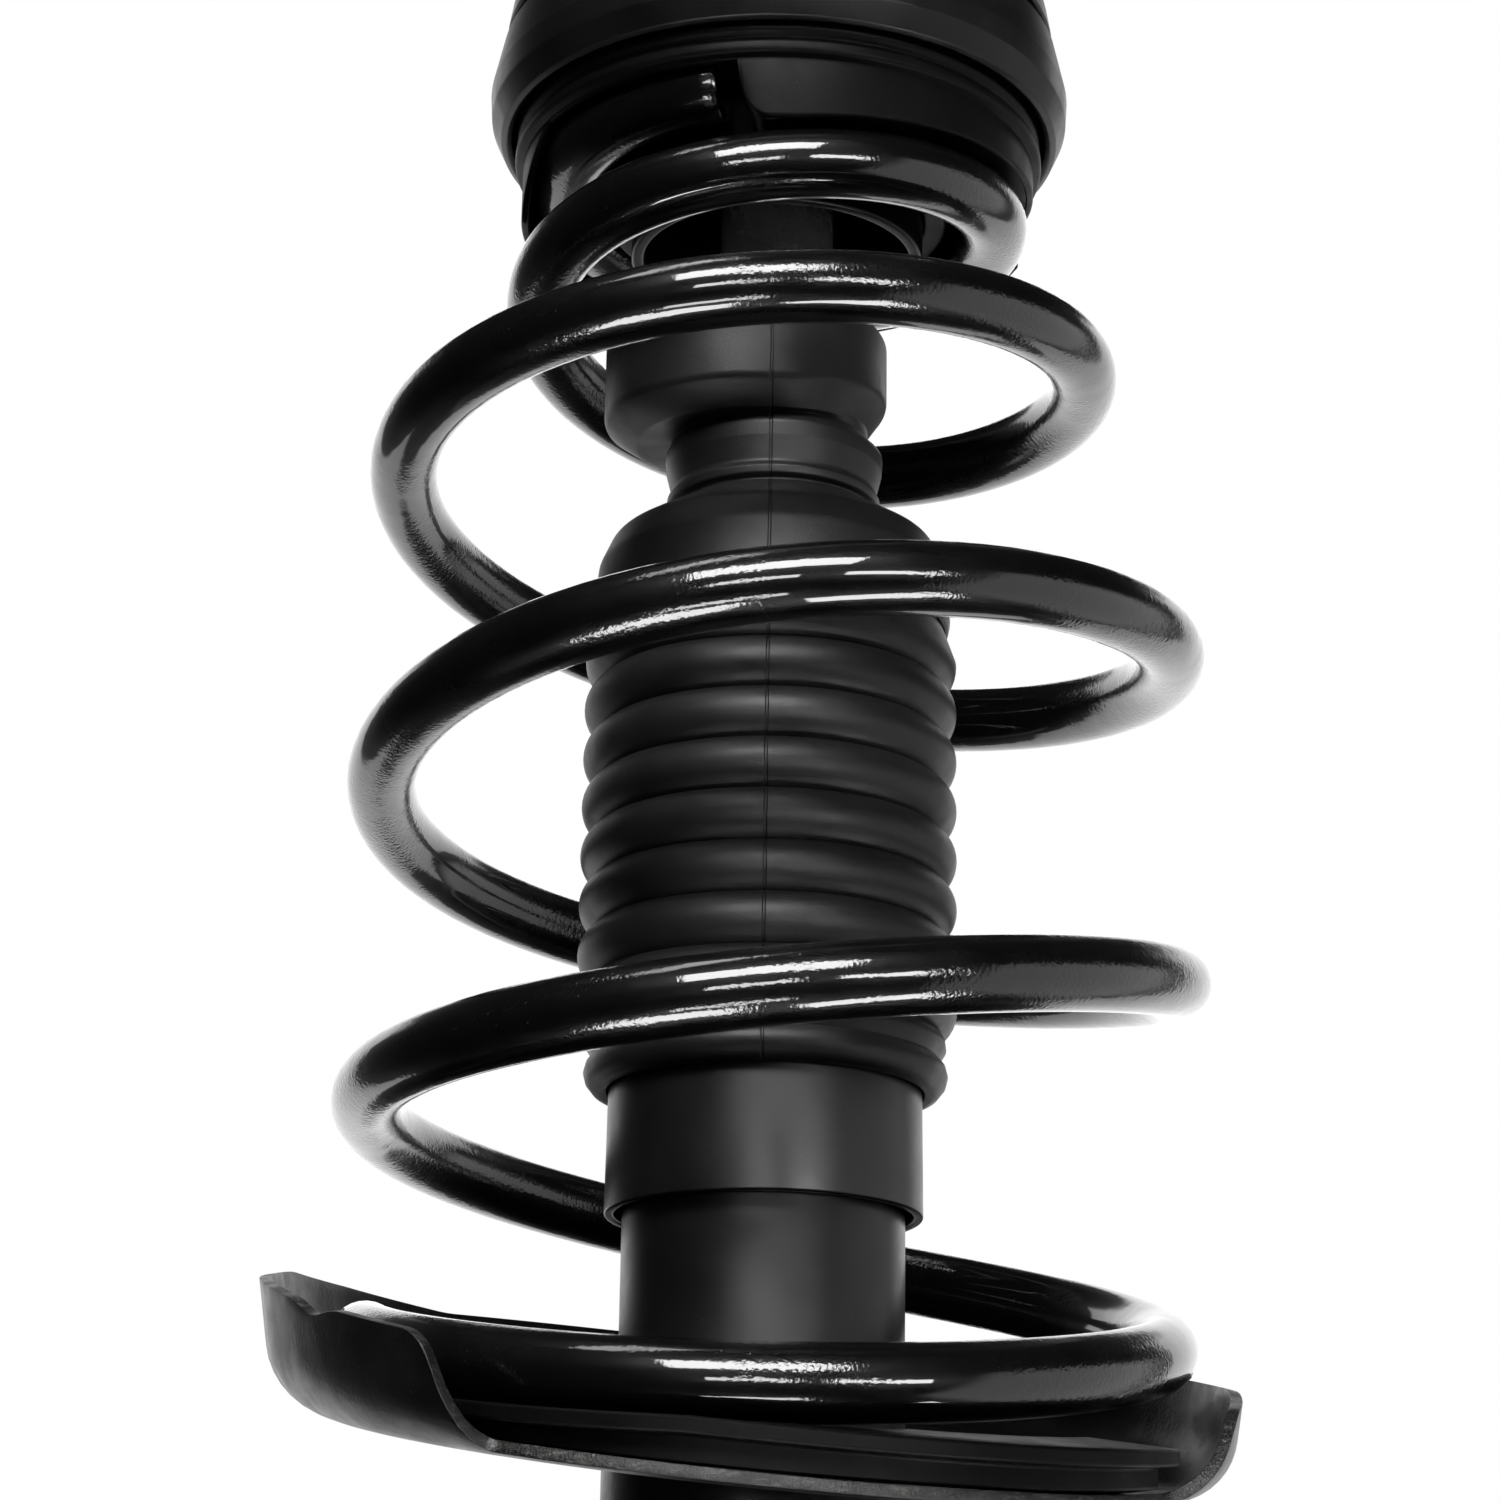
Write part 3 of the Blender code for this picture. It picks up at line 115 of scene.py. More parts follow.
class NodeNet:
    """A node tree with short calls for adding and joining nodes."""

    def __init__(self, tree: bpy.types.NodeTree) -> None:
        """Keep the tree.

        Args:
            tree: the node tree of a material, a world or a node group.
        """
        self.tree = tree

    def add(self, kind: str, **settings: object) -> bpy.types.Node:
        """Add a node.

        Args:
            kind: the node's type name.
            settings: properties to set on it.

        Returns:
            The new node.
        """
        node = self.tree.nodes.new(kind)
        for name, value in settings.items():
            setattr(node, name, value)
        return node

    def join(self, source: object, target: object) -> None:
        """Link an output to an input."""
        self.tree.links.new(source, target)

    def feed(self, value: object, target: object) -> None:
        """Set an input from a number, a colour or another node's output."""
        if isinstance(value, bpy.types.NodeSocket):
            self.join(value, target)
        else:
            target.default_value = value

    def math(self, operation: str, first: object, second: object = 0.0) -> bpy.types.NodeSocket:
        """Add a Math node and return its value output."""
        node = self.add("ShaderNodeMath", operation=operation)
        for value, target in zip((first, second), node.inputs):
            self.feed(value, target)
        return node.outputs[0]

    def dot(self, vector: object, axis: Vector) -> bpy.types.NodeSocket:
        """Add a dot product with a fixed axis and return its value output."""
        node = self.add("ShaderNodeVectorMath", operation="DOT_PRODUCT")
        self.join(vector, node.inputs[0])
        node.inputs[1].default_value = axis
        return node.outputs["Value"]

    def ramp(self, value: object, low: float, high: float, start: object = 0.0,
             end: object = 1.0) -> bpy.types.NodeSocket:
        """Add a smooth map from low..high to start..end and return its output."""
        node = self.add("ShaderNodeMapRange", interpolation_type="SMOOTHSTEP")
        for key, item in (("Value", value), ("From Min", low), ("From Max", high),
                          ("To Min", start), ("To Max", end)):
            self.feed(item, node.inputs[key])
        return node.outputs["Result"]

    def noise(self, place: object, scale: float, detail: float = 3.0,
              roughness: float = 0.5) -> bpy.types.NodeSocket:
        """Add a noise texture and return its factor output."""
        node = self.add("ShaderNodeTexNoise")
        self.join(place, node.inputs["Vector"])
        node.inputs["Scale"].default_value = scale
        node.inputs["Detail"].default_value = detail
        node.inputs["Roughness"].default_value = roughness
        return node.outputs["Fac"]

    def mix(self, factor: object, first: object, second: object) -> bpy.types.NodeSocket:
        """Mix two colours and return the result."""
        node = self.add("ShaderNodeMix", data_type="RGBA")
        self.feed(factor, node.inputs["Factor"])
        for value, target in ((first, node.inputs["A"]), (second, node.inputs["B"])):
            self.feed(value, target)
        return node.outputs["Result"]

    def object_place(self, stretch: tuple[float, float, float] = (1.0, 1.0, 1.0)) -> bpy.types.NodeSocket:
        """Object coordinates, stretched for patterns that run one way."""
        coordinates = self.add("ShaderNodeTexCoord").outputs["Object"]
        mapping = self.add("ShaderNodeMapping")
        self.join(coordinates, mapping.inputs["Vector"])
        mapping.inputs["Scale"].default_value = stretch
        return mapping.outputs["Vector"]


class Effect(Enum):
    """Surface effects that more than one finish uses, each one node group."""

    MOTTLE = "mottle"
    DUST = "dust"
    ORANGE_PEEL = "orange_peel"
    BRUSHING = "brushing"
    RAGGED = "ragged"

    def group(self) -> bpy.types.NodeTree:
        """The effect's node group, made the first time it is asked for."""
        found = bpy.data.node_groups.get(self.value)
        if found is not None:
            return found
        tree = bpy.data.node_groups.new(self.value, "ShaderNodeTree")
        for name, default in (("Scale", 100.0), ("Low", 0.0), ("High", 1.0)):
            socket = tree.interface.new_socket(name=name, in_out="INPUT", socket_type="NodeSocketFloat")
            socket.default_value = default
        tree.interface.new_socket(name="Result", in_out="OUTPUT", socket_type="NodeSocketFloat")
        net = NodeNet(tree)
        entry, result = net.add("NodeGroupInput"), net.add("NodeGroupOutput")
        value = {"mottle": self._mottle, "dust": self._dust, "orange_peel": self._peel,
                 "brushing": self._brushing, "ragged": self._ragged}[self.value](net, entry.outputs["Scale"])
        spread = net.add("ShaderNodeMapRange")
        net.join(value, spread.inputs["Value"])
        net.join(entry.outputs["Low"], spread.inputs["To Min"])
        net.join(entry.outputs["High"], spread.inputs["To Max"])
        net.join(spread.outputs["Result"], result.inputs["Result"])
        return tree

    @staticmethod
    def _pattern(net: NodeNet, kind: str, scale: object, stretch: tuple[float, float, float],
                 **values: float) -> bpy.types.Node:
        """A texture on stretched Object coordinates whose scale comes from the group's input."""
        node = net.add(kind)
        net.join(net.object_place(stretch), node.inputs["Vector"])
        net.feed(scale, node.inputs["Scale"])
        for key, value in values.items():
            node.inputs[key].default_value = value
        return node

    def _mottle(self, net: NodeNet, scale: object) -> bpy.types.NodeSocket:
        """Soft uneven patches."""
        patches = self._pattern(net, "ShaderNodeTexNoise", scale, (1, 1, 1), Detail=6.0, Roughness=0.6)
        return net.ramp(patches.outputs["Fac"], 0.3, 0.7)

    def _dust(self, net: NodeNet, scale: object) -> bpy.types.NodeSocket:
        """Sparse small specks, thicker in some patches."""
        cells = self._pattern(net, "ShaderNodeTexVoronoi", scale, (1, 1, 1), Randomness=1.0)
        speck = net.ramp(cells.outputs["Distance"], 0.05, 0.16, 1.0, 0.0)
        sizes = net.ramp(cells.outputs["Color"], 0.62, 0.9)
        patches = self._pattern(net, "ShaderNodeTexNoise", 30.0, (1, 1, 1), Detail=2.0)
        return net.math("MULTIPLY", net.math("MULTIPLY", speck, sizes),
                        net.ramp(patches.outputs["Fac"], 0.42, 0.68))

    def _peel(self, net: NodeNet, scale: object) -> bpy.types.NodeSocket:
        """The fine waviness of sprayed or dipped paint."""
        waves = self._pattern(net, "ShaderNodeTexNoise", scale, (1, 1, 1), Detail=1.5, Roughness=0.4)
        return waves.outputs["Fac"]

    def _ragged(self, net: NodeNet, scale: object) -> bpy.types.NodeSocket:
        """Fine waviness that fades out between patches."""
        waves = self._pattern(net, "ShaderNodeTexNoise", scale, (1, 1, 1), Detail=2.0, Roughness=0.5)
        patches = self._pattern(net, "ShaderNodeTexNoise", 60.0, (1, 1, 1), Detail=2.0)
        return net.math("MULTIPLY", waves.outputs["Fac"], net.ramp(patches.outputs["Fac"], 0.35, 0.65))

    def _brushing(self, net: NodeNet, scale: object) -> bpy.types.NodeSocket:
        """Fine lines round an upright axis, as turning and grinding leave."""
        lines = self._pattern(net, "ShaderNodeTexNoise", scale, (0.02, 0.02, 1.0), Detail=4.0, Roughness=0.7)
        return lines.outputs["Fac"]


# ---------------------------------------------------------------- finishes

PATCH_SCALE = 55.0
GLOSS_SCALE = 120.0
SPECK_SCALE = 900.0
RAGGED_SCALE = 1400.0
GRAIN_SCALE = 1800.0
LINE_SCALE = 2600.0
SPECK_COLOUR = (0.32, 0.31, 0.29, 1.0)


@dataclass(frozen=True)
class Finish:
    """What a surface is made of and coated with.

    Attributes:
        name: the material's name, after look_.
        colour: base colour, linear.
        roughness: lowest and highest roughness over the surface.
        metallic: 1 for bare metal.
        specular: the shader's specular level.
        coat: weight of a clear coat.
        coat_roughness: its roughness.
        peel: height of the paint's waviness.
        peel_scale: its scale.
        ragged: height of finer waviness that comes in patches.
        dust: how far specks lighten the surface.
        grain: height of fine grain.
        mottle: how far patches lighten or darken the colour.
    """

    name: str
    colour: tuple[float, float, float]
    roughness: tuple[float, float] = (0.35, 0.45)
    metallic: float = 0.0
    specular: float = 0.5
    coat: float = 0.0
    coat_roughness: float = 0.03
    peel: float = 0.0
    peel_scale: float = 260.0
    ragged: float = 0.0
    dust: float = 0.0
    grain: float = 0.0
    mottle: float = 0.25

    def _effect(self, net: NodeNet, effect: Effect, scale: float, low: float,
                high: float) -> bpy.types.NodeSocket:
        """Place a shared effect with this finish's values and return its result."""
        node = net.add("ShaderNodeGroup", node_tree=effect.group())
        node.inputs["Scale"].default_value = scale
        node.inputs["Low"].default_value = low
        node.inputs["High"].default_value = high
        return node.outputs["Result"]

    def _shade(self, share: float) -> tuple[float, ...]:
        """The base colour times a share, opaque."""
        return (*(min(1.0, channel * share) for channel in self.colour), 1.0)

    def colour_socket(self, net: NodeNet) -> bpy.types.NodeSocket:
        """Base colour over the surface: patches, then dust.

        Args:
            net: the material's nodes.

        Returns:
            The output that feeds Base Color.
        """
        patches = self._effect(net, Effect.MOTTLE, PATCH_SCALE, 0.0, 1.0)
        colour = net.mix(patches, self._shade(1 - self.mottle), self._shade(1 + self.mottle))
        if self.dust:
            specks = self._effect(net, Effect.DUST, SPECK_SCALE, 0.0, self.dust)
            colour = net.mix(specks, colour, SPECK_COLOUR)
        return colour

    def bump_height(self, net: NodeNet) -> bpy.types.NodeSocket | None:
        """Height of waviness and grain together, or None for a plain surface."""
        height = None
        for amount, effect, scale in ((self.peel, Effect.ORANGE_PEEL, self.peel_scale),
                                      (self.ragged, Effect.RAGGED, RAGGED_SCALE),
                                      (self.grain, Effect.MOTTLE, GRAIN_SCALE)):
            if amount:
                layer = self._effect(net, effect, scale, 0.0, amount)
                height = layer if height is None else net.math("ADD", height, layer)
        return height

    def roughness_socket(self, net: NodeNet) -> bpy.types.NodeSocket:
        """Roughness over the surface."""
        return self._effect(net, Effect.MOTTLE, GLOSS_SCALE, *self.roughness)

    def material(self) -> bpy.types.Material:
        """The finish's material, made the first time it is asked for."""
        name = f"look_{self.name}"
        found = bpy.data.materials.get(name)
        if found is not None:
            return found
        material = bpy.data.materials.new(name)
        material.use_nodes = True
        net = NodeNet(material.node_tree)
        shader = material.node_tree.nodes["Principled BSDF"]
        for key, value in (("Metallic", self.metallic), ("Specular IOR Level", self.specular),
                           ("Coat Weight", self.coat), ("Coat Roughness", self.coat_roughness)):
            shader.inputs[key].default_value = value
        net.join(self.colour_socket(net), shader.inputs["Base Color"])
        net.join(self.roughness_socket(net), shader.inputs["Roughness"])
        height = self.bump_height(net)
        if height is not None:
            bump = net.add("ShaderNodeBump")
            bump.inputs["Strength"].default_value = 1.0
            bump.inputs["Distance"].default_value = 1.0
            net.join(height, bump.inputs["Height"])
            net.join(bump.outputs["Normal"], shader.inputs["Normal"])
            if self.coat:
                net.join(bump.outputs["Normal"], shader.inputs["Coat Normal"])
        return material


@dataclass(frozen=True)
class TurnedMetal(Finish):
    """Bare metal with fine lines round its axis.

    Attributes:
        lines: height of the lines.
    """

    lines: float = 0.000004

    def bump_height(self, net: NodeNet) -> bpy.types.NodeSocket | None:
        """Height of the turning lines."""
        return self._effect(net, Effect.BRUSHING, LINE_SCALE, 0.0, self.lines)


@dataclass(frozen=True)
class MouldedRubber(Finish):
    """Moulded rubber with a parting line down its front.

    Attributes:
        seam_x: where the line is.
        seam_width: half its width.
        seam_depth: its depth.
        seam_wander: how far it strays sideways.
        seam_front: Y of the front faces that have it.
    """

    seam_x: float = -0.4 * MM
    seam_width: float = 0.35 * MM
    seam_depth: float = 0.25 * MM
    seam_wander: float = 0.5 * MM
    seam_front: tuple[float, float] = (-12.0 * MM, -10.0 * MM)

    def _seam(self, net: NodeNet) -> bpy.types.NodeSocket:
        """1 on the parting line at the front, 0 elsewhere."""
        place = net.add("ShaderNodeSeparateXYZ")
        net.join(net.object_place(), place.inputs["Vector"])
        wander = net.math("MULTIPLY", net.noise(net.object_place((0.0, 0.0, 1.0)), 90.0), self.seam_wander)
        across = net.math("SUBTRACT", place.outputs["X"], self.seam_x)
        off = net.math("ABSOLUTE", net.math("ADD", across, wander))
        line = net.ramp(off, self.seam_width * 0.4, self.seam_width, 1.0, 0.0)
        front = net.ramp(place.outputs["Y"], *self.seam_front, 1.0, 0.0)
        return net.math("MULTIPLY", line, front)

    def colour_socket(self, net: NodeNet) -> bpy.types.NodeSocket:
        """Base colour, darker on the parting line."""
        return net.mix(self._seam(net), super().colour_socket(net), self._shade(0.25))

    def bump_height(self, net: NodeNet) -> bpy.types.NodeSocket | None:
        """Grain with the parting line cut into it."""
        groove = net.math("MULTIPLY", self._seam(net), -self.seam_depth)
        return net.math("ADD", super().bump_height(net), groove)


@dataclass(frozen=True)
class ShearedEdge(Finish):
    """The dull torn edge that a press leaves on thick sheet, only part covered by paint."""

    def colour_socket(self, net: NodeNet) -> bpy.types.NodeSocket:
        """Dull grey with dark streaks across the sheet."""
        streaks = net.ramp(net.noise(net.object_place((0.5, 0.5, 1.4)), 900.0, 5.0, 0.7), 0.5, 0.72)
        return net.mix(streaks, self._shade(0.08), self._shade(1.0))


SPRING_PAINT = Finish("spring_paint", (0.0025, 0.0025, 0.0028), (0.3, 0.4), specular=0.12, coat=1.0,
                      coat_roughness=0.02, peel=0.000035, peel_scale=170.0, ragged=0.00009,
                      dust=0.25, mottle=0.2)
BLACK_COAT = Finish("black_coat", (0.0035, 0.0035, 0.0038), (0.36, 0.52), specular=0.2, coat=0.12,
                    coat_roughness=0.12, peel=0.00014, peel_scale=140.0, ragged=0.00007,
                    dust=0.26, mottle=0.5)
SATIN_BLACK = Finish("satin_black", (0.006, 0.006, 0.0063), (0.32, 0.40), specular=0.4,
                     peel=0.00002, peel_scale=420.0, dust=0.16, mottle=0.15)
SEAT_BLACK = Finish("seat_black", (0.004, 0.004, 0.0043), (0.32, 0.42), specular=0.2,
                    peel=0.00002, peel_scale=420.0, dust=0.14, mottle=0.2)
BOOT_RUBBER = MouldedRubber("boot_rubber", (0.006, 0.006, 0.0062), (0.42, 0.52), specular=0.3,
                            grain=0.000014, dust=0.2, mottle=0.3)
PAD_RUBBER = Finish("pad_rubber", (0.0018, 0.0018, 0.0019), (0.38, 0.5), specular=0.07,
                    grain=0.00001, dust=0.12, mottle=0.3)
SHEARED = ShearedEdge("sheared_edge", (0.07, 0.068, 0.065), (0.3, 0.55), metallic=0.2, grain=0.00006)
ROD_CHROME = TurnedMetal("rod_chrome", (0.5, 0.5, 0.51), (0.2, 0.32), metallic=0.45, mottle=0.04,
                         lines=0.0000006)
ZINC = Finish("zinc_plate", (0.56, 0.56, 0.53), (0.28, 0.42), metallic=1.0, grain=0.000006, mottle=0.12)
TURNED_STEEL = TurnedMetal("turned_steel", (0.42, 0.42, 0.43), (0.22, 0.34), metallic=1.0, mottle=0.1)
SINTERED_IRON = Finish("sintered_iron", (0.16, 0.16, 0.16), (0.5, 0.65), metallic=0.8, grain=0.00003)
BRONZE = TurnedMetal("bush_bronze", (0.5, 0.33, 0.15), (0.25, 0.35), metallic=1.0)
STOP_FOAM = Finish("stop_foam", (0.52, 0.42, 0.24), (0.8, 0.95), grain=0.0001, mottle=0.18)
RING_PLASTIC = Finish("ring_plastic", (0.05, 0.045, 0.04), (0.4, 0.5), grain=0.00001)


# ---------------------------------------------------------------- shape helpers


def arc(centre: tuple[float, float], radius: float, start: float, end: float, steps: int) -> Outline:
    """Points on an arc of a plan circle.

    Args:
        centre: its middle.
        radius: its radius.
        start: first plan angle.
        end: last plan angle.
        steps: how many chords it has.

    Returns:
        The points, first and last included.
    """
    turns = (math.radians(start + (end - start) * step / steps) for step in range(steps + 1))
    return [(centre[0] + radius * math.cos(a), centre[1] + radius * math.sin(a)) for a in turns]


def sized(rows: Sequence[tuple[float, ...]], right: float = 0.0, up: float = 0.0) -> list[tuple[float, ...]]:
    """Bring part of an outline from millimetres to metres.

    Args:
        rows: (x, y) or (x, y, corner radius) in millimetres.
        right: where x starts.
        up: where y starts.

    Returns:
        The same rows in metres.
    """
    return [(right + x * MM, up + y * MM, *(value * MM for value in more)) for x, y, *more in rows]


def rounded(outline: Sequence[tuple[float, ...]], steps: int = 5) -> Outline:
    """Round the corners of a closed outline.

    Args:
        outline: (x, y) for a sharp corner, or (x, y, radius) for a rounded one.
        steps: chords in each rounded corner.

    Returns:
        The outline's points.
    """
    points: Outline = []
    for k, corner in enumerate(outline):
        here = Vector(corner[:2])
        radius = corner[2] if len(corner) > 2 else 0.0
        if radius <= 0:
            points.append((here.x, here.y))
            continue
        before = Vector(outline[k - 1][:2]) - here
        after = Vector(outline[(k + 1) % len(outline)][:2]) - here
        half = before.angle(after) / 2
        if half > math.radians(89):
            points.append((here.x, here.y))
            continue
        reach = min(radius / math.tan(half), 0.48 * before.length, 0.48 * after.length)
        radius = reach * math.tan(half)
        middle = here + (before.normalized() + after.normalized()).normalized() * radius / math.sin(half)
        first, last = here + before.normalized() * reach - middle, here + after.normalized() * reach - middle
        sweep = first.angle_signed(last)
        for step in range(steps + 1):
            turned = first.copy()
            turned.rotate(Matrix.Rotation(-sweep * step / steps, 2))
            points.append((middle.x + turned.x, middle.y + turned.y))
    return points


def mesh_object(bm: bmesh.types.BMesh, name: str, sharp: float | None = 32.0) -> bpy.types.Object:
    """Turn a bmesh into an object with smooth shading and outward faces.

    Args:
        bm: the shape, which is freed.
        name: the object's name.
        sharp: edges bent more than this stay sharp; None smooths them all.

    Returns:
        The object, linked to the scene.
    """
    bmesh.ops.remove_doubles(bm, verts=bm.verts, dist=1e-7)
    bmesh.ops.recalc_face_normals(bm, faces=bm.faces)
    mesh = bpy.data.meshes.new(name)
    bm.to_mesh(mesh)
    bm.free()
    mesh.shade_smooth()
    if sharp is not None:
        mesh.set_sharp_from_angle(angle=math.radians(sharp))
    obj = bpy.data.objects.new(name, mesh)
    bpy.context.scene.collection.objects.link(obj)
    return obj


def spun(outline: Outline, segments: int) -> bmesh.types.BMesh:
    """Spin a closed outline of (radius, height) round an upright axis.

    Args:
        outline: its points; two neighbours at radius 0 leave the axis open between them.
        segments: facets round the axis.

    Returns:
        The shape, whose points keep their number in the outline in a layer named row.
    """
    bm = bmesh.new()
    row = bm.verts.layers.int.new("row")
    corners = [bm.verts.new((radius, 0.0, height)) for radius, height in outline]
    for k, corner in enumerate(corners):
        corner[row] = k
    pairs = zip(corners, corners[1:] + corners[:1])
    edges = [bm.edges.new(pair) for pair in pairs if max(v.co.x for v in pair) > 1e-6]
    bmesh.ops.spin(bm, geom=corners + edges, cent=(0, 0, 0), axis=(0, 0, 1), angle=math.tau,
                   steps=segments, use_merge=True)
    return bm


def turned(name: str, outline: Sequence[tuple[float, ...]], turn: Turn = Turn.FINE,
           centre: tuple[float, float] = (0.0, 0.0)) -> bpy.types.Object:
    """Make a piece by spinning an outline whose corners may be rounded.

    Args:
        name: the piece's name.
        outline: (radius, height) or (radius, height, corner radius).
        turn: how fine it is.
        centre: where its axis stands.

    Returns:
        The piece.
    """
    bm = spun(rounded(outline), turn.value)
    bmesh.ops.translate(bm, verts=bm.verts, vec=(*centre, 0.0))
    return mesh_object(bm, name)


def drill(name: str, radius: float, low: float, high: float, turn: Turn = Turn.FINE,
          centre: tuple[float, float] = (0.0, 0.0)) -> bpy.types.Object:
    """Make an upright cylinder that cuts a hole.

    Args:
        name: the cutter's name.
        radius: radius of the hole.
        low: height of its lower end.
        high: height of its upper end.
        turn: how fine it is.
        centre: where its axis stands.

    Returns:
        The cutter.
    """
    return turned(name, [(0, high), (radius, high), (radius, low), (0, low)], turn, centre)


def thread(radius: float, depth: float, pitch: float, start: float, end: float) -> Outline:
    """Outline of a thread as grooves, from its upper end down.

    Args:
        radius: outer radius.
        depth: depth of the grooves.
        pitch: from groove to groove.
        start: height of the lowest groove.
        end: height that no groove passes.

    Returns:
        Points of (radius, height).
    """
    points: Outline = []
    for k in range(int((end - start) / pitch), -1, -1):
        base = start + k * pitch
        points += [(radius, base + 0.55 * pitch), (radius - depth, base + 0.05 * pitch)]
    return points


def pressed(name: str, outline: Outline, start: float, end: float, direction: str = "Z",
            edge: float = 0.0) -> bpy.types.Object:
    """Extrude a flat outline along an axis and round its rims.

    Args:
        name: the piece's name.
        outline: its points, as the other two axes in X, Y, Z order.
        start: where it starts on the axis.
        end: where it ends.
        direction: X, Y or Z.
        edge: width of the rounding on the rims at both ends.

    Returns:
        The piece.
    """
    def place(a: float, b: float, c: float) -> tuple[float, float, float]:
        """A point from the outline's two numbers and the height."""
        return {"X": (c, a, b), "Y": (a, c, b), "Z": (a, b, c)}[direction]

    bm = bmesh.new()
    face = bm.faces.new([bm.verts.new(place(a, b, start)) for a, b in outline])
    moved = bmesh.ops.extrude_face_region(bm, geom=[face])["geom"]
    top = [item for item in moved if isinstance(item, bmesh.types.BMVert)]
    bmesh.ops.translate(bm, verts=top, vec=place(0, 0, end - start))
    if edge:
        axis = Vector(place(0, 0, 1))
        rims = [e for e in bm.edges if abs((e.verts[0].co - e.verts[1].co).dot(axis)) < 1e-9]
        bmesh.ops.bevel(bm, geom=rims, offset=edge, offset_type="OFFSET", segments=2, profile=0.5,
                        affect="EDGES", material=-1)
    return mesh_object(bm, name)


def bevelled(obj: bpy.types.Object, width: float, angle: float) -> bpy.types.Modifier:
    """Add a Bevel modifier to edges bent more than an angle.

    Args:
        obj: the piece.
        width: width of the rounding.
        angle: least bend of the edges.

    Returns:
        The modifier.
    """
    bevel = obj.modifiers.new("edge", "BEVEL")
    bevel.width, bevel.segments, bevel.limit_method = width, 2, "ANGLE"
    bevel.angle_limit = math.radians(angle)
    return bevel


def combine(obj: bpy.types.Object, others: Iterable[bpy.types.Object],
            operation: str = "DIFFERENCE", edge: float = 0.0) -> bpy.types.Object:
    """Cut, join or trim a piece with others, which are used up.

    Args:
        obj: the piece.
        others: what it is combined with.
        operation: DIFFERENCE, UNION or INTERSECT.
        edge: width of a rounding on the sharp edges afterwards.

    Returns:
        The piece with its new mesh.
    """
    others = list(others)
    for other in others:
        modifier = obj.modifiers.new(other.name, "BOOLEAN")
        modifier.operation, modifier.solver, modifier.object = operation, "EXACT", other
    if edge:
        bevelled(obj, edge, 40.0).loop_slide = False
    bpy.context.view_layer.update()
    evaluated = obj.evaluated_get(bpy.context.evaluated_depsgraph_get())
    mesh = bpy.data.meshes.new_from_object(evaluated)
    obj.modifiers.clear()
    obj.data = mesh
    mesh.name = obj.name
    mesh.shade_smooth()
    mesh.set_sharp_from_angle(angle=math.radians(32))
    for other in others:
        bpy.data.objects.remove(other, do_unlink=True)
    return obj


def install(obj: bpy.types.Object, body: Body, finish: Finish, slot: str, *nodes: str,
            also: Finish | None = None) -> bpy.types.Object:
    """Finish a piece and hand it to its body.

    Args:
        obj: the piece.
        body: the body it rides on.
        finish: its finish.
        slot: the name of a material slot; not used.
        nodes: CAD nodes that it stands for.
        also: a second finish, for faces of material index 1.

    Returns:
        The piece.
    """
    obj.data.materials.clear()
    obj.data.materials.append(finish.material())
    if also is not None:
        obj.data.materials.append(also.material())
    if "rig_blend" not in obj:
        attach(obj, body.value)
    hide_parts(*nodes)
    log.info("%s: %d faces on %s", obj.name, len(obj.data.polygons), body.value)
    return obj


def smooth_value(stations: Sequence[tuple[float, ...]], column: int, x: float) -> float:
    """Read a smooth curve through stations.

    Args:
        stations: rows of (x, value, ...).
        column: which value.
        x: where to read it.

    Returns:
        The value at x.
    """
    last = len(stations) - 1
    i = max(k for k in range(last) if k == 0 or stations[k][0] <= x)

    def slope(k: int) -> float:
        """Slope of the curve at a station."""
        low, high = max(k - 1, 0), min(k + 1, last)
        return (stations[high][column] - stations[low][column]) / (stations[high][0] - stations[low][0])

    span = stations[i + 1][0] - stations[i][0]
    t = (x - stations[i][0]) / span
    return ((2 * t**3 - 3 * t**2 + 1) * stations[i][column] + (t**3 - 2 * t**2 + t) * span * slope(i)
            + (3 * t**2 - 2 * t**3) * stations[i + 1][column] + (t**3 - t**2) * span * slope(i + 1))


def straight_value(stations: Sequence[tuple[float, float]], x: float) -> float:
    """Read a line through the stations' (x, value) rows at x."""
    for low, high in zip(stations, stations[1:]):
        if x <= high[0]:
            return low[1] + max(0.0, (x - low[0]) / (high[0] - low[0])) * (high[1] - low[1])
    return stations[-1][1]


def weigh(obj: bpy.types.Object, share: Callable[[Vector], float]) -> None:
    """Give each point of a blended piece its own share of the lower body's motion.

    Args:
        share: from a point at rest, 0 for the upper body to 1 for the lower.
    """
    values = [min(1.0, max(0.0, share(v.co))) for v in obj.data.vertices]
    obj.data.attributes["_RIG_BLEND"].data.foreach_set("value", values)


# ---------------------------------------------------------------- the coil spring


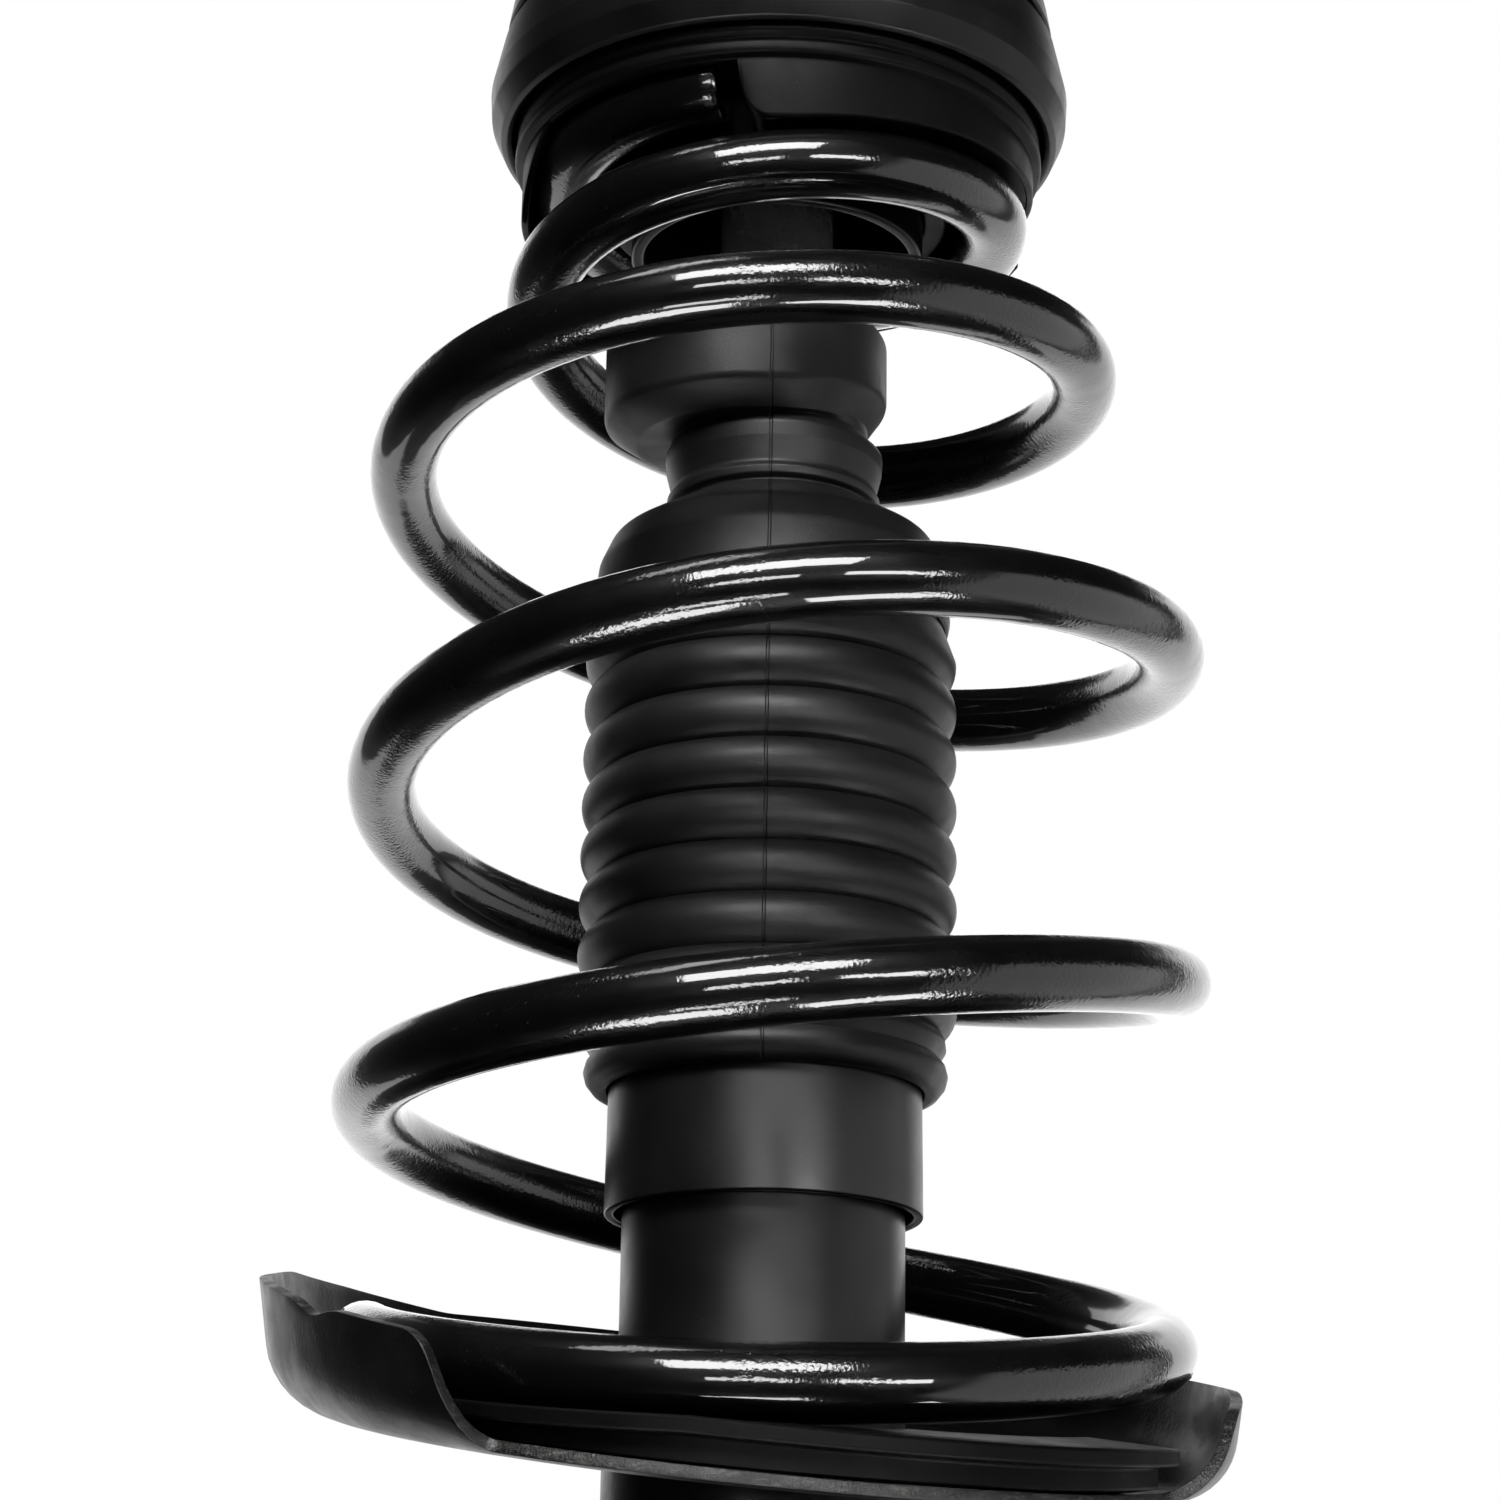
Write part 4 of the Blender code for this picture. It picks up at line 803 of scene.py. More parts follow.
@dataclass
class CoilSpring:
    """The spring: one painted wire from its pigtail end to its end coil.

    Attributes:
        wire: radius of the wire.
        shift: how far the body coils are off the tube's axis.
        top_angle: plan angle of the upper end.
        low: height of the wire's centre where the end coil starts.
        rise: height from there to the upper end.
        length: half turns from end to end.
        tail: half turns that the cut end runs past the upper end's centre.
        active: half turns between which the coils close up.
        stations: half turns, share of the rise, coil radius in millimetres.
        lean: half turns, how much lower the front of the coil lies, in millimetres.
    """

    wire: float = 6.5 * MM
    shift: float = 1.5 * MM
    top_angle: float = 250.0
    low: float = 193.5 * MM
    rise: float = 226.0 * MM
    length: float = 155 / 15
    tail: float = 0.03
    active: tuple[float, float] = (1.0, 9.4)
    stations: tuple[tuple[float, float, float], ...] = (
        (0.0, 1.005, 41.5), (0.4, 0.995, 41.5), (1.4, 0.959, 42.5), (2.4, 0.885, 46.5),
        (3.4, 0.808, 58.0), (4.4, 0.721, 72.5), (5.4, 0.564, 73.5), (6.4, 0.440, 73.5),
        (7.4, 0.290, 73.5), (8.4, 0.177, 73.5), (9.4, 0.000, 69.5), (10.5, 0.004, 72.5))
    lean: tuple[tuple[float, float], ...] = (
        (0.0, 0.0), (1.9, -0.5), (2.9, -4.5), (3.9, -0.8), (5.9, -3.0), (6.9, 2.5), (7.9, 6.5),
        (8.9, 9.0), (9.9, 14.0), (10.5, 14.0))

    def centre(self, half_turns: float) -> Vector:
        """Middle of the wire, counted in half turns from its upper end."""
        angle = math.radians(self.top_angle - 180.0 * half_turns)
        radius = smooth_value(self.stations, 2, half_turns) * MM
        height = self.low + self.rise * smooth_value(self.stations, 1, half_turns)
        height += smooth_value(self.lean, 1, half_turns) * MM * math.sin(angle)
        shift = self.shift * min(1.0, max(0.0, half_turns / 2 - 1))
        return Vector((shift + radius * math.cos(angle), radius * math.sin(angle), height))

    def build(self) -> bpy.types.Object:
        """Sweep the wire along its helix, with its cut ends chamfered.

        Returns:
            The spring, whose turns close up as the damper moves up.
        """
        steps, chamfer, end_share = 460, 0.004, 0.92
        spacing = [-self.tail + (self.length + self.tail) * k / steps for k in range(steps + 1)]
        spacing[1:1], spacing[-1:-1] = [spacing[0] + chamfer], [spacing[-1] - chamfer]
        curve = bpy.data.curves.new("spring_wire", "CURVE")
        curve.dimensions, curve.bevel_depth, curve.bevel_resolution = "3D", self.wire, 12
        curve.use_fill_caps, curve.twist_mode = True, "Z_UP"
        spline = curve.splines.new("POLY")
        spline.points.add(len(spacing) - 1)
        for point, half_turns in zip(spline.points, spacing):
            point.co = (*self.centre(half_turns), 1.0)
            point.radius = end_share if half_turns in (spacing[0], spacing[-1]) else 1.0
        sweep = bpy.data.objects.new("spring_wire", curve)
        bpy.context.scene.collection.objects.link(sweep)
        bpy.context.view_layer.update()
        mesh = bpy.data.meshes.new_from_object(
            sweep.evaluated_get(bpy.context.evaluated_depsgraph_get()))
        bm = bmesh.new()
        bm.from_mesh(mesh)
        bpy.data.objects.remove(sweep, do_unlink=True)
        spring = mesh_object(bm, "spring", sharp=50.0)
        top, bottom = self.centre(0.0), self.centre(self.length)
        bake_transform(spring, Body.UPPER_SEAT.value, Body.DAMPER.value, top, bottom)
        weigh(spring, self._closing(spacing))
        return install(spring, Body.DAMPER, SPRING_PAINT, "spring_paint", "coil_spring")

    def _closing(self, spacing: Sequence[float]) -> Callable[[Vector], float]:
        """How far along its active turns the wire is at a point, from 0 at its top to 1."""
        tree = KDTree(len(spacing))
        for k, half_turns in enumerate(spacing):
            tree.insert(self.centre(half_turns), k)
        tree.balance()
        top, bottom = self.active
        first, last = self.centre(top).z, self.centre(bottom).z

        def share(point: Vector) -> float:
            """Share of the lower body's motion at a point of the wire."""
            half_turns = spacing[tree.find(point)[1]]
            if half_turns <= top:
                return 0.0
            if half_turns >= bottom:
                return 1.0
            level = self.low + self.rise * smooth_value(self.stations, 1, half_turns)
            return (first - level) / (first - last)

        return share


# ---------------------------------------------------------------- the dust boot


@dataclass
class DustBoot:
    """The ribbed boot from its off-centre head down to the lip on the striker cap.

    Attributes:
        wall: thickness of the rubber.
        crest: outer radius of the ribs.
        valley: outer radius between them.
        first_crest: height of the top rib.
        pitch: from rib to rib.
        ribs: how many there are.
        top: height of the head's top.
        head_radius: radius of the head.
        head_shift: how far the head is off the axis.
        head_low: height over which points belong to the head.
        neck: radius within which the head stays on the axis.
        fold: heights between which the boot folds.
    """

    wall: float = 2.0 * MM
    crest: float = 34.9 * MM
    valley: float = 32.3 * MM
    first_crest: float = 320.2 * MM
    pitch: float = 9.5 * MM
    ribs: int = 8
    top: float = 390.0 * MM
    head_radius: float = 27.2 * MM
    head_shift: float = -5.6 * MM
    head_low: float = 364.0 * MM
    neck: float = 17.0 * MM
    fold: tuple[float, float] = (347.0 * MM, 246.0 * MM)

    def _rib_side(self, inward: float) -> Outline:
        """The ribs' side, offset inward, from the top rib down."""
        points: Outline = []
        steps, half, depth = 12, self.pitch / 2, self.crest - self.valley
        bulge = (half**2 + depth**2) / (2 * depth)
        for rib in range(self.ribs):
            for k in range(steps // 2 if rib == 0 else 0, steps):
                down = (2 * k / steps - 1) * half
                radius = self.crest - bulge + math.sqrt(bulge**2 - down**2)
                points.append((radius - inward, self.first_crest - rib * self.pitch - down))
        return points

    def _outline(self) -> Outline:
        """Closed outline: outer side from the top down, then the inner side up."""
        lip = self.first_crest - (self.ribs + 0.25) * self.pitch
        grip = CAP_OUTER + GAP
        outer = rounded(
            sized([(13.2, 0), (23.0, 0)], 0.0, self.top)
            + sized([(0, -4.6, 2), (0, -16.8, 2.5)], self.head_radius, self.top)
            + sized([(22.0, -22.4, 3), (18.6, -24.4, 0.8)], 0.0, self.top)
            + sized([(18.9, 365.2, 0.6), (20.9, 362.2, 1.5), (20.7, 359.4, 1.5), (19.5, 354.6, 1.2),
                     (20.4, 353.4, 0.6), (20.2, 351.9, 0.6), (18.5, 351.2, 0.5), (25.9, 346.9, 3),
                     (30.6, 344.0, 4), (33.0, 338.6, 5), (33.8, 329.0, 4), (33.0, 325.4, 0.5)]))
        edge = sized([(-0.3, 7.4)], self.valley, lip)
        edge += sized([(32.7, 6.2), (32.9, 4.6), (31.9, 3.0), (31.8, 2.4), (32.8, 1.2), (33.2, -0.4),
                       (32.8, -2.0), (31.6, -3.5), (30.2, -4.0)], 0.0, lip)
        edge += sized([(0, -3.7), (0, 0.5)], grip, lip) + sized([(30.0, 3.0), (30.4, 7.4)], 0.0, lip)
        rest = sized([(31.4, 327.0), (31.2, 337.0), (28.9, 342.8), (24.8, 346.2), (16.4, 350.6)])
        rest += sized([(16.4, -3.4), (13.2, -3.4)], 0.0, self.top)
        return outer + self._rib_side(0.0) + edge + self._rib_side(self.wall)[::-1] + rest

    def _carry_head(self, bm: bmesh.types.BMesh) -> None:
        """Move the head off centre and let its underside slant down on the far side."""
        for v in bm.verts:
            radius = math.hypot(v.co.x, v.co.y)
            if v.co.z < self.head_low or radius < self.neck:
                continue
            outward = min(1.0, max(0.0, (radius - 18.0 * MM) / (5.5 * MM)))
            side = max(0.0, -v.co.x / radius)
            if v.co.z < self.top - 15 * MM:
                front = max(0.0, -v.co.y / radius)
                v.co.z -= outward * (side ** 1.5 * 4.0 + front ** 2 * 4.6) * MM
            v.co.x += self.head_shift * outward

    def build(self) -> bpy.types.Object:
        """Spin the boot, shape its head and let its ribs fold as the damper moves up."""
        bm = spun(self._outline(), 128)
        self._carry_head(bm)
        boot = mesh_object(bm, "boot", sharp=48.0)
        upper, lower = self.fold
        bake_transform(boot, Body.UPPER_SEAT.value, Body.DAMPER.value, (0, 0, upper), (0, 0, lower))
        weigh(boot, lambda point: (upper - point.z) / (upper - lower))
        return install(boot, Body.DAMPER, BOOT_RUBBER, "boot_rubber", "dust_boot")


# ---------------------------------------------------------------- upper seat


@dataclass
class UpperSeat:
    """Seat pressing with a rolled rim, the isolator under it and the housing over it.

    Attributes:
        rim: radius of the rolled rim.
        hub: outer radius of the hub round the rod.
        spring: the spring whose upper end the isolator follows.
    """

    spring: CoilSpring
    rim: float = 57.0 * MM
    hub: float = 28.5 * MM

    def build(self) -> None:
        """Build the seat, the isolator and the housing."""
        self._seat()
        self._isolator()
        self._housing()

    def _seat(self) -> None:
        """Press the seat: rolled rim, plate and hub in one sheet."""
        outline = sized([(-1.0, 2.5, 1)], self.hub, SEAT_LEVEL)
        outline += sized([(-4.3, 2.5, 2), (-2.2, 0.5, 2), (0, -9.6, 2), (-0.3, -14.4, 2), (-2.2, -18.6, 0.8),
                          (-3.3, -19.2, 0.5), (-4.6, -18.4, 0.6), (-3.0, -14.2, 1), (-2.5, -9.8, 1),
                          (-4.8, -0.8), (-5.6, 0)], self.rim, SEAT_LEVEL)
        outline += sized([(2.2, 0, 2), (0, -2.2, 2), (0, -43.1, 0.8), (-2.5, -43.1, 0.8), (-2.5, 0, 1)],
                         self.hub, SEAT_LEVEL)
        install(turned("seat_pressing", outline), Body.UPPER_SEAT, SEAT_BLACK, "satin_black",
                "upper_spring_seat")

    def _section(self, half_turns: float, rounding: float) -> Outline:
        """Section of the isolator: a channel whose roof follows the wire's top.

        Args:
            half_turns: where the wire's height is read.
            rounding: 0 on the ring, up to 1 where the block at the wire's end rounds up to the lip.

        Returns:
            Closed outline of (radius, height), the same number of points everywhere.
        """
        ledge = self.spring.centre(half_turns).z + self.spring.wire + GAP
        skirt = SEAT_LEVEL - 36.8 * MM
        if half_turns < 0.36:
            skirt += (ledge - skirt) * min(1.0, 2 * (1 - half_turns / 0.36))
        if half_turns > 1.3:
            skirt = max(skirt, ledge - GAP)
        inner, outer, lip = self.hub + GAP, 50.2 * MM, SEAT_LEVEL - 21.8 * MM
        highest = lip - 3.4 * MM
        skirt = min(skirt, highest)
        bottom = min(ledge - GAP, SEAT_LEVEL - 34.8 * MM)
        lift = 1 - math.sqrt(1 - rounding**2)
        skirt += (highest - skirt) * lift
        ledge += (SEAT_LEVEL - 20.0 * MM - ledge) * lift
        near, far = 33.4 * MM, outer - 1.3 * MM
        outline = [(inner, SEAT_LEVEL - 2.5 * MM), (inner + 2.5 * MM, SEAT_LEVEL - GAP),
                   (self.rim - 5.8 * MM, SEAT_LEVEL - GAP)]
        outline += sized([(-5.6, 6, 1), (-5.4, 2.2, 1.2), (-6.9, 0.7, 0.6), (-5.2, -0.2, 1.1),
                          (-5.2, -2.4, 1.1), (-6.8, -3.1, 0.3)], self.rim, lip)
        outline += [(outer, lip - 3.2 * MM), (outer, skirt, 0.9 * MM), (far, skirt, 0.4 * MM),
                    (far, ledge, 1.6 * MM), (near, ledge, 1.6 * MM), (near, bottom, 1 * MM),
                    (inner, bottom, 0.6 * MM)]
        return rounded(outline, 4)

    def _isolator(self) -> None:
        """Spin the isolator's section, then let each angle follow the wire, stepped past its end."""
        count, past_end, fillet = 360, 10.0, 7.0
        bm = spun(self._section(1.0, 0.0), count)
        table = []
        for k in range(count):
            wrapped = 360.0 * k / count
            rounding = max(0.0, (wrapped - 359.0 + fillet) / fillet)
            table.append(self._section(max(-0.02, (wrapped - past_end) / 180), min(1.0, rounding)))
        row = bm.verts.layers.int["row"]
        for v in bm.verts:
            radius = math.hypot(v.co.x, v.co.y)
            wrapped = (self.spring.top_angle + past_end - math.degrees(math.atan2(v.co.y, v.co.x))) % 360.0
            new_radius, height = table[round(wrapped / 360.0 * count) % count][v[row]]
            v.co = (v.co.x * new_radius / radius, v.co.y * new_radius / radius, height)
        isolator = mesh_object(bm, "isolator_ring", sharp=40.0)
        install(isolator, Body.UPPER_SEAT, PAD_RUBBER, "isolator_rubber", "upper_isolator")

    def _housing(self) -> None:
        """Press the domed housing over the bearing."""
        top, foot, race = HOUSING_TOP, SEAT_TOP + 2 * GAP, 46.0 * MM
        rise = top - foot
        outline = [(24.0 * MM, top, 0.8 * MM), (race - 4.5 * MM, top, 3 * MM), (race, top - 1.2 * MM, 3 * MM)]
        outline += [(race + out * MM, top - share * rise, round_by * MM) for out, share, round_by in (
            (2.6, 0.21, 4), (5.0, 0.42, 6), (7.4, 0.73, 8), (8.3, 1, 0.6), (5.8, 1, 0.6), (4.9, 0.73, 4),
            (2.7, 0.45, 3))]
        outline += sized([(0.9, -2.6, 0.8), (-1.2, 0)], race, ROOF_LEVEL)
        outline += [(24.0 * MM, ROOF_LEVEL, 0.8 * MM)]
        install(turned("dome", outline), Body.TOP_MOUNT, SEAT_BLACK, "satin_black", "mount_housing")


# ---------------------------------------------------------------- lower seat


@dataclass
class LowerSeat:
    """The dished pan with its open front, the pad on its floor and the collar under it.

    Attributes:
        spring: the spring that the pad carries.
        level: floor height on the tube's axis.
        sheet: thickness of the pan.
        shift: how far the dish is off the axis.
        dip_front: slope of the floor towards the front.
        dip_right: slope of the floor to the right.
        floor_radius: where the floor starts to curl.
        curl: radius of the curl.
        wall_lean: how far the wall leans out.
        front_lip: length of the curled edge at the open front.
        wall: plan angle, height of the wall over the floor in millimetres.
        pad_length: half turns of the end coil that lie on the pad.
        pad_height: most height of the pad over the floor.
        flange: thickness of the pad's flange.
    """

    spring: CoilSpring
    level: float = 176.0 * MM
    sheet: float = 2.1 * MM
    shift: float = -1.9 * MM
    dip_front: float = 10.5
    dip_right: float = 5.0
    floor_radius: float = 72.5 * MM
    curl: float = 11.0 * MM
    wall_lean: float = 9.0
    front_lip: float = 4.0 * MM
    wall: tuple[tuple[float, float], ...] = (
        (-24, 0.0), (-14, 15.0), (0, 17.5), (18, 17.5), (45, 15.0), (90, 13.0), (135, 14.5),
        (155, 18.6), (170, 21.2), (190, 20.9), (208, 19.0), (213, 16.5), (218, 18.2), (232, 16.8),
        (234.3, 12.0), (235.3, 5.5), (236.3, 2.5), (238.5, 0.0))
    pad_length: float = 0.784
    pad_height: float = 8.5 * MM
    flange: float = 2.8 * MM

    def floor(self, x: float, y: float) -> float:
        """Height of the floor's top over a plan point."""
        return (self.level + y * math.tan(math.radians(self.dip_front))
                - (x - self.shift) * math.tan(math.radians(self.dip_right)))

    def _profile(self, length: float) -> tuple[float, float]:
        """Reach and height at a length along the curled edge."""
        bend = math.radians(90 - self.wall_lean)
        through = min(length / self.curl, bend)
        straight = max(0.0, length - self.curl * bend)
        return (self.curl * math.sin(through) + straight * math.cos(bend),
                self.curl * (1 - math.cos(through)) + straight * math.sin(bend))

    def _edge_length(self, angle: float) -> float:
        """Length of the curled edge at a plan angle from -24 to 336."""
        if angle > self.wall[-1][0]:
            return self.front_lip
        nearby = [straight_value(self.wall, angle + 0.5 * k) for k in range(-3, 4)]
        height = sum(nearby) / len(nearby) * MM
        bend = math.radians(90 - self.wall_lean)
        curl_height = self.curl * (1 - math.cos(bend))
        if height > curl_height:
            return self.curl * bend + (height - curl_height) / math.sin(bend)
        return max(self.front_lip, self.curl * math.acos(1 - height / self.curl))

    def build(self) -> None:
        """Build the pan, the pad and the collar."""
        self._pan()
        self._pad()
        self._collar()

    def _pan(self) -> None:
        """Spin a flat ring, then press each of its points into the dish and give it thickness."""
        hole, floor_steps, edge_steps, count = TUBE_RADIUS + 1.0 * MM, 6, 14, 480
        radii = [hole + (self.floor_radius - hole) * k / floor_steps for k in range(floor_steps)]
        radii += [self.floor_radius * (1 + k) for k in range(edge_steps + 1)]
        bm = bmesh.new()
        corners = [bm.verts.new((radius, 0.0, 0.0)) for radius in radii]
        edges = [bm.edges.new(pair) for pair in zip(corners, corners[1:])]
        bmesh.ops.spin(bm, geom=corners + edges, cent=(0, 0, 0), axis=(0, 0, 1), angle=math.tau,
                       steps=count, use_merge=True)
        for v in bm.verts:
            angle = math.atan2(v.co.y, v.co.x)
            radius = math.hypot(v.co.x, v.co.y)
            up, shift = 0.0, self.shift * min(1.0, (radius - hole) / (self.floor_radius - hole))
            if radius > self.floor_radius * 0.999:
                share = (radius / self.floor_radius - 1) / edge_steps
                plan = (math.degrees(angle) + 24.0) % 360.0 - 24.0
                out, up = self._profile(self._edge_length(plan) * share)
                radius, shift = self.floor_radius + out, self.shift
            x, y = shift + radius * math.cos(angle), radius * math.sin(angle)
            v.co = (x, y, self.floor(x, y) + up)
        pan = mesh_object(bm, "pan", sharp=None)
        if pan.data.polygons[0].normal.z < 0:
            pan.data.flip_normals()
        sheet = pan.modifiers.new("sheet", "SOLIDIFY")
        sheet.thickness, sheet.offset, sheet.use_even_offset = self.sheet, -1.0, True
        sheet.material_offset_rim = 1
        bevelled(pan, 0.35 * MM, 55.0)
        install(pan, Body.DAMPER, BLACK_COAT, "black_coat", "lower_spring_pan", also=SHEARED)

    def _at_floor(self, point: Vector) -> Vector:
        """The place over the floor, or over its curl, at a plan point."""
        past = math.hypot(point.x - self.shift, point.y) - self.floor_radius
        rise = self.curl - math.sqrt(self.curl**2 - min(max(past, 0.0) + GAP, self.curl) ** 2)
        return Vector((point.x, point.y, self.floor(point.x, point.y) + rise + GAP))

    def _pad_section(self, half_turns: float) -> list[Vector]:
        """Section of the pad at a place along the wire: a narrow foot under a grooved flange."""
        centre = self.spring.centre(half_turns)
        out = Vector((centre.x, centre.y, 0)).normalized()
        half, groove = self.spring.wire + 2.0 * MM, self.spring.wire + GAP
        foot = half - 4.0 * MM
        top = {}
        shares = (0.35, 0.23, 0.1, -0.1, -0.23, -0.35)
        for reach in (half, *(groove * share for share in shares), -half):
            point = centre + out * reach
            drop = math.sqrt(groove**2 - min(abs(reach), shares[0] * groove) ** 2)
            most = self.floor(point.x, point.y) + self.pad_height
            top[reach] = Vector((point.x, point.y, min(centre.z - drop, most)))

        def under(reach: float, edge: float) -> Vector:
            """Underside of the flange, or the floor where the pad is thinner."""
            low = self._at_floor(centre + out * reach)
            return Vector((low.x, low.y, max(low.z, top[edge].z - self.flange)))

        section = [self._at_floor(centre + out * reach) for reach in (-foot, 0.0, foot)]
        section += [under(foot, half), under(half, half)] + list(top.values())
        return section + [under(-half, -half), under(-foot, -half)]

    def _pad(self) -> None:
        """Extrude the pad's section step by step along the end coil, then round its edges."""
        bm = bmesh.new()
        steps, first = 60, self.spring.length - self.pad_length
        places = [first + (self.spring.length - first) * k / steps for k in range(steps + 1)]
        front = bm.faces.new([bm.verts.new(point) for point in self._pad_section(places[0])])
        for place in places[1:]:
            region = bmesh.ops.extrude_face_region(bm, geom=[front])
            face = next(item for item in region["geom"] if isinstance(item, bmesh.types.BMFace))
            for v, point in zip(face.verts, self._pad_section(place)):
                v.co = point
            if front.is_valid and place is not places[1]:
                bmesh.ops.delete(bm, geom=[front], context="FACES_ONLY")
            front = face
        pad = mesh_object(bm, "spring_pad", sharp=40.0)
        bevelled(pad, 0.5 * MM, 50.0)
        install(pad, Body.DAMPER, PAD_RUBBER, "isolator_rubber", "lower_isolator")

    def _collar(self) -> None:
        """Turn the collar and slice it to the pan's slope."""
        inner = TUBE_RADIUS + GAP
        outer = inner + 2.2 * MM
        bottom = self.level - 24.0 * MM - self.sheet
        bm = spun(rounded([(outer, self.level + outer), (outer, bottom, 0.7 * MM), (inner, bottom, 0.5 * MM),
                           (inner, self.level + outer)]), Turn.FINE.value)
        under = self.sheet / math.cos(math.radians(self.dip_front)) + 2 * GAP
        origin = Vector((0, 0, self.floor(0, 0) - under))
        along_x = Vector((1, 0, self.floor(1, 0) - self.floor(0, 0)))
        along_y = Vector((0, 1, self.floor(0, 1) - self.floor(0, 0)))
        upwards = along_x.cross(along_y).normalized()
        cut = bmesh.ops.bisect_plane(bm, geom=bm.verts[:] + bm.edges[:] + bm.faces[:], plane_co=origin,
                                     plane_no=upwards, clear_outer=True)
        rims = [item for item in cut["geom_cut"] if isinstance(item, bmesh.types.BMEdge)]
        bmesh.ops.bridge_loops(bm, edges=rims)
        install(mesh_object(bm, "collar"), Body.DAMPER, BLACK_COAT, "black_coat", "pan_collar")


# ---------------------------------------------------------------- damper


@dataclass
class Damper:
    """Tube, foot, striker cap and rod.

    Attributes:
        wall: thickness of the tube.
        foot: height of the tube's lower end.
        skirt: length of the striker cap's side.
    """

    wall: float = 2.2 * MM
    foot: float = 4.0 * MM
    skirt: float = 40.0 * MM

    def build(self) -> None:
        """Turn the four pieces."""
        self._tube()
        self._foot()
        self._striker_cap()
        self._rod()

    def _tube(self) -> None:
        """Turn the tube with its rolled top."""
        inner, under = TUBE_RADIUS - self.wall, TUBE_TOP - 2.7 * MM
        lip = inner - 6.0 * MM
        outline = [(lip, TUBE_TOP, 0.5 * MM), (TUBE_RADIUS, TUBE_TOP, 2.4 * MM),
                   (TUBE_RADIUS, self.foot, 0.6 * MM), (inner, self.foot, 0.4 * MM),
                   (inner, under, 1 * MM), (lip, under, 0.5 * MM)]
        install(turned("tube", outline), Body.DAMPER, SATIN_BLACK, "satin_black", "strut_tube")

    def _foot(self) -> None:
        """Turn the pressed cap that closes the tube."""
        plug = TUBE_RADIUS - self.wall - GAP
        depth = self.foot + 10 * MM
        outline = [(plug, depth, 0.4 * MM), (plug, self.foot, 2 * MM), (plug - 2 * MM, 1.2 * MM, 2 * MM),
                   (plug - 6 * MM, 0, 2 * MM), (0, 0), (0, 2.5 * MM), (plug - 7 * MM, 2.5 * MM, 2 * MM),
                   (plug - 2.5 * MM, self.foot + 2 * MM, 2 * MM), (plug - 2.5 * MM, depth, 0.4 * MM)]
        install(turned("tube_foot", outline), Body.DAMPER, SATIN_BLACK, "satin_black", "base_cap")

    def _striker_cap(self) -> None:
        """Press the cap over the tube's top."""
        foot, under = TUBE_TOP - self.skirt, TUBE_TOP + GAP
        bore, top = ROD_RADIUS + 3 * MM, under + 2.0 * MM
        outline = [(bore, top, 0.5 * MM), (CAP_OUTER - 0.4 * MM, top, 2.2 * MM),
                   (CAP_OUTER, foot, 0.5 * MM), (CAP_INNER, foot, 0.5 * MM),
                   (CAP_INNER - 0.4 * MM, under, 1 * MM), (bore, under, 0.5 * MM)]
        install(turned("sleeve", outline), Body.DAMPER, SATIN_BLACK, "satin_black", "striker_cap")

    def _rod(self) -> None:
        """Turn the rod, with its threaded end as fine grooves."""
        low, spigot, spigot_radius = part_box("piston_rod")[0].z, 210.9 * MM, 6.0 * MM
        start = SHOULDER + 22.0 * MM
        grooves = thread(ROD_END_RADIUS, 0.55 * MM, 1.5 * MM, start, ROD_TIP - 1.5 * MM)
        outline = [(0, ROD_TIP), (ROD_END_RADIUS - 1.2 * MM, ROD_TIP, 0.3 * MM), *grooves,
                   (ROD_END_RADIUS, start - 1 * MM, 0.3 * MM), (ROD_END_RADIUS, SHOULDER, 0.3 * MM),
                   (ROD_RADIUS, SHOULDER, 1.0 * MM), (ROD_RADIUS, spigot, 0.5 * MM),
                   (spigot_radius, spigot), (spigot_radius, low, 0.6 * MM), (0, low)]
        install(turned("rod", outline, Turn.MEDIUM), Body.TOP_MOUNT, ROD_CHROME, "rod_chrome", "piston_rod")


# ---------------------------------------------------------------- top mount


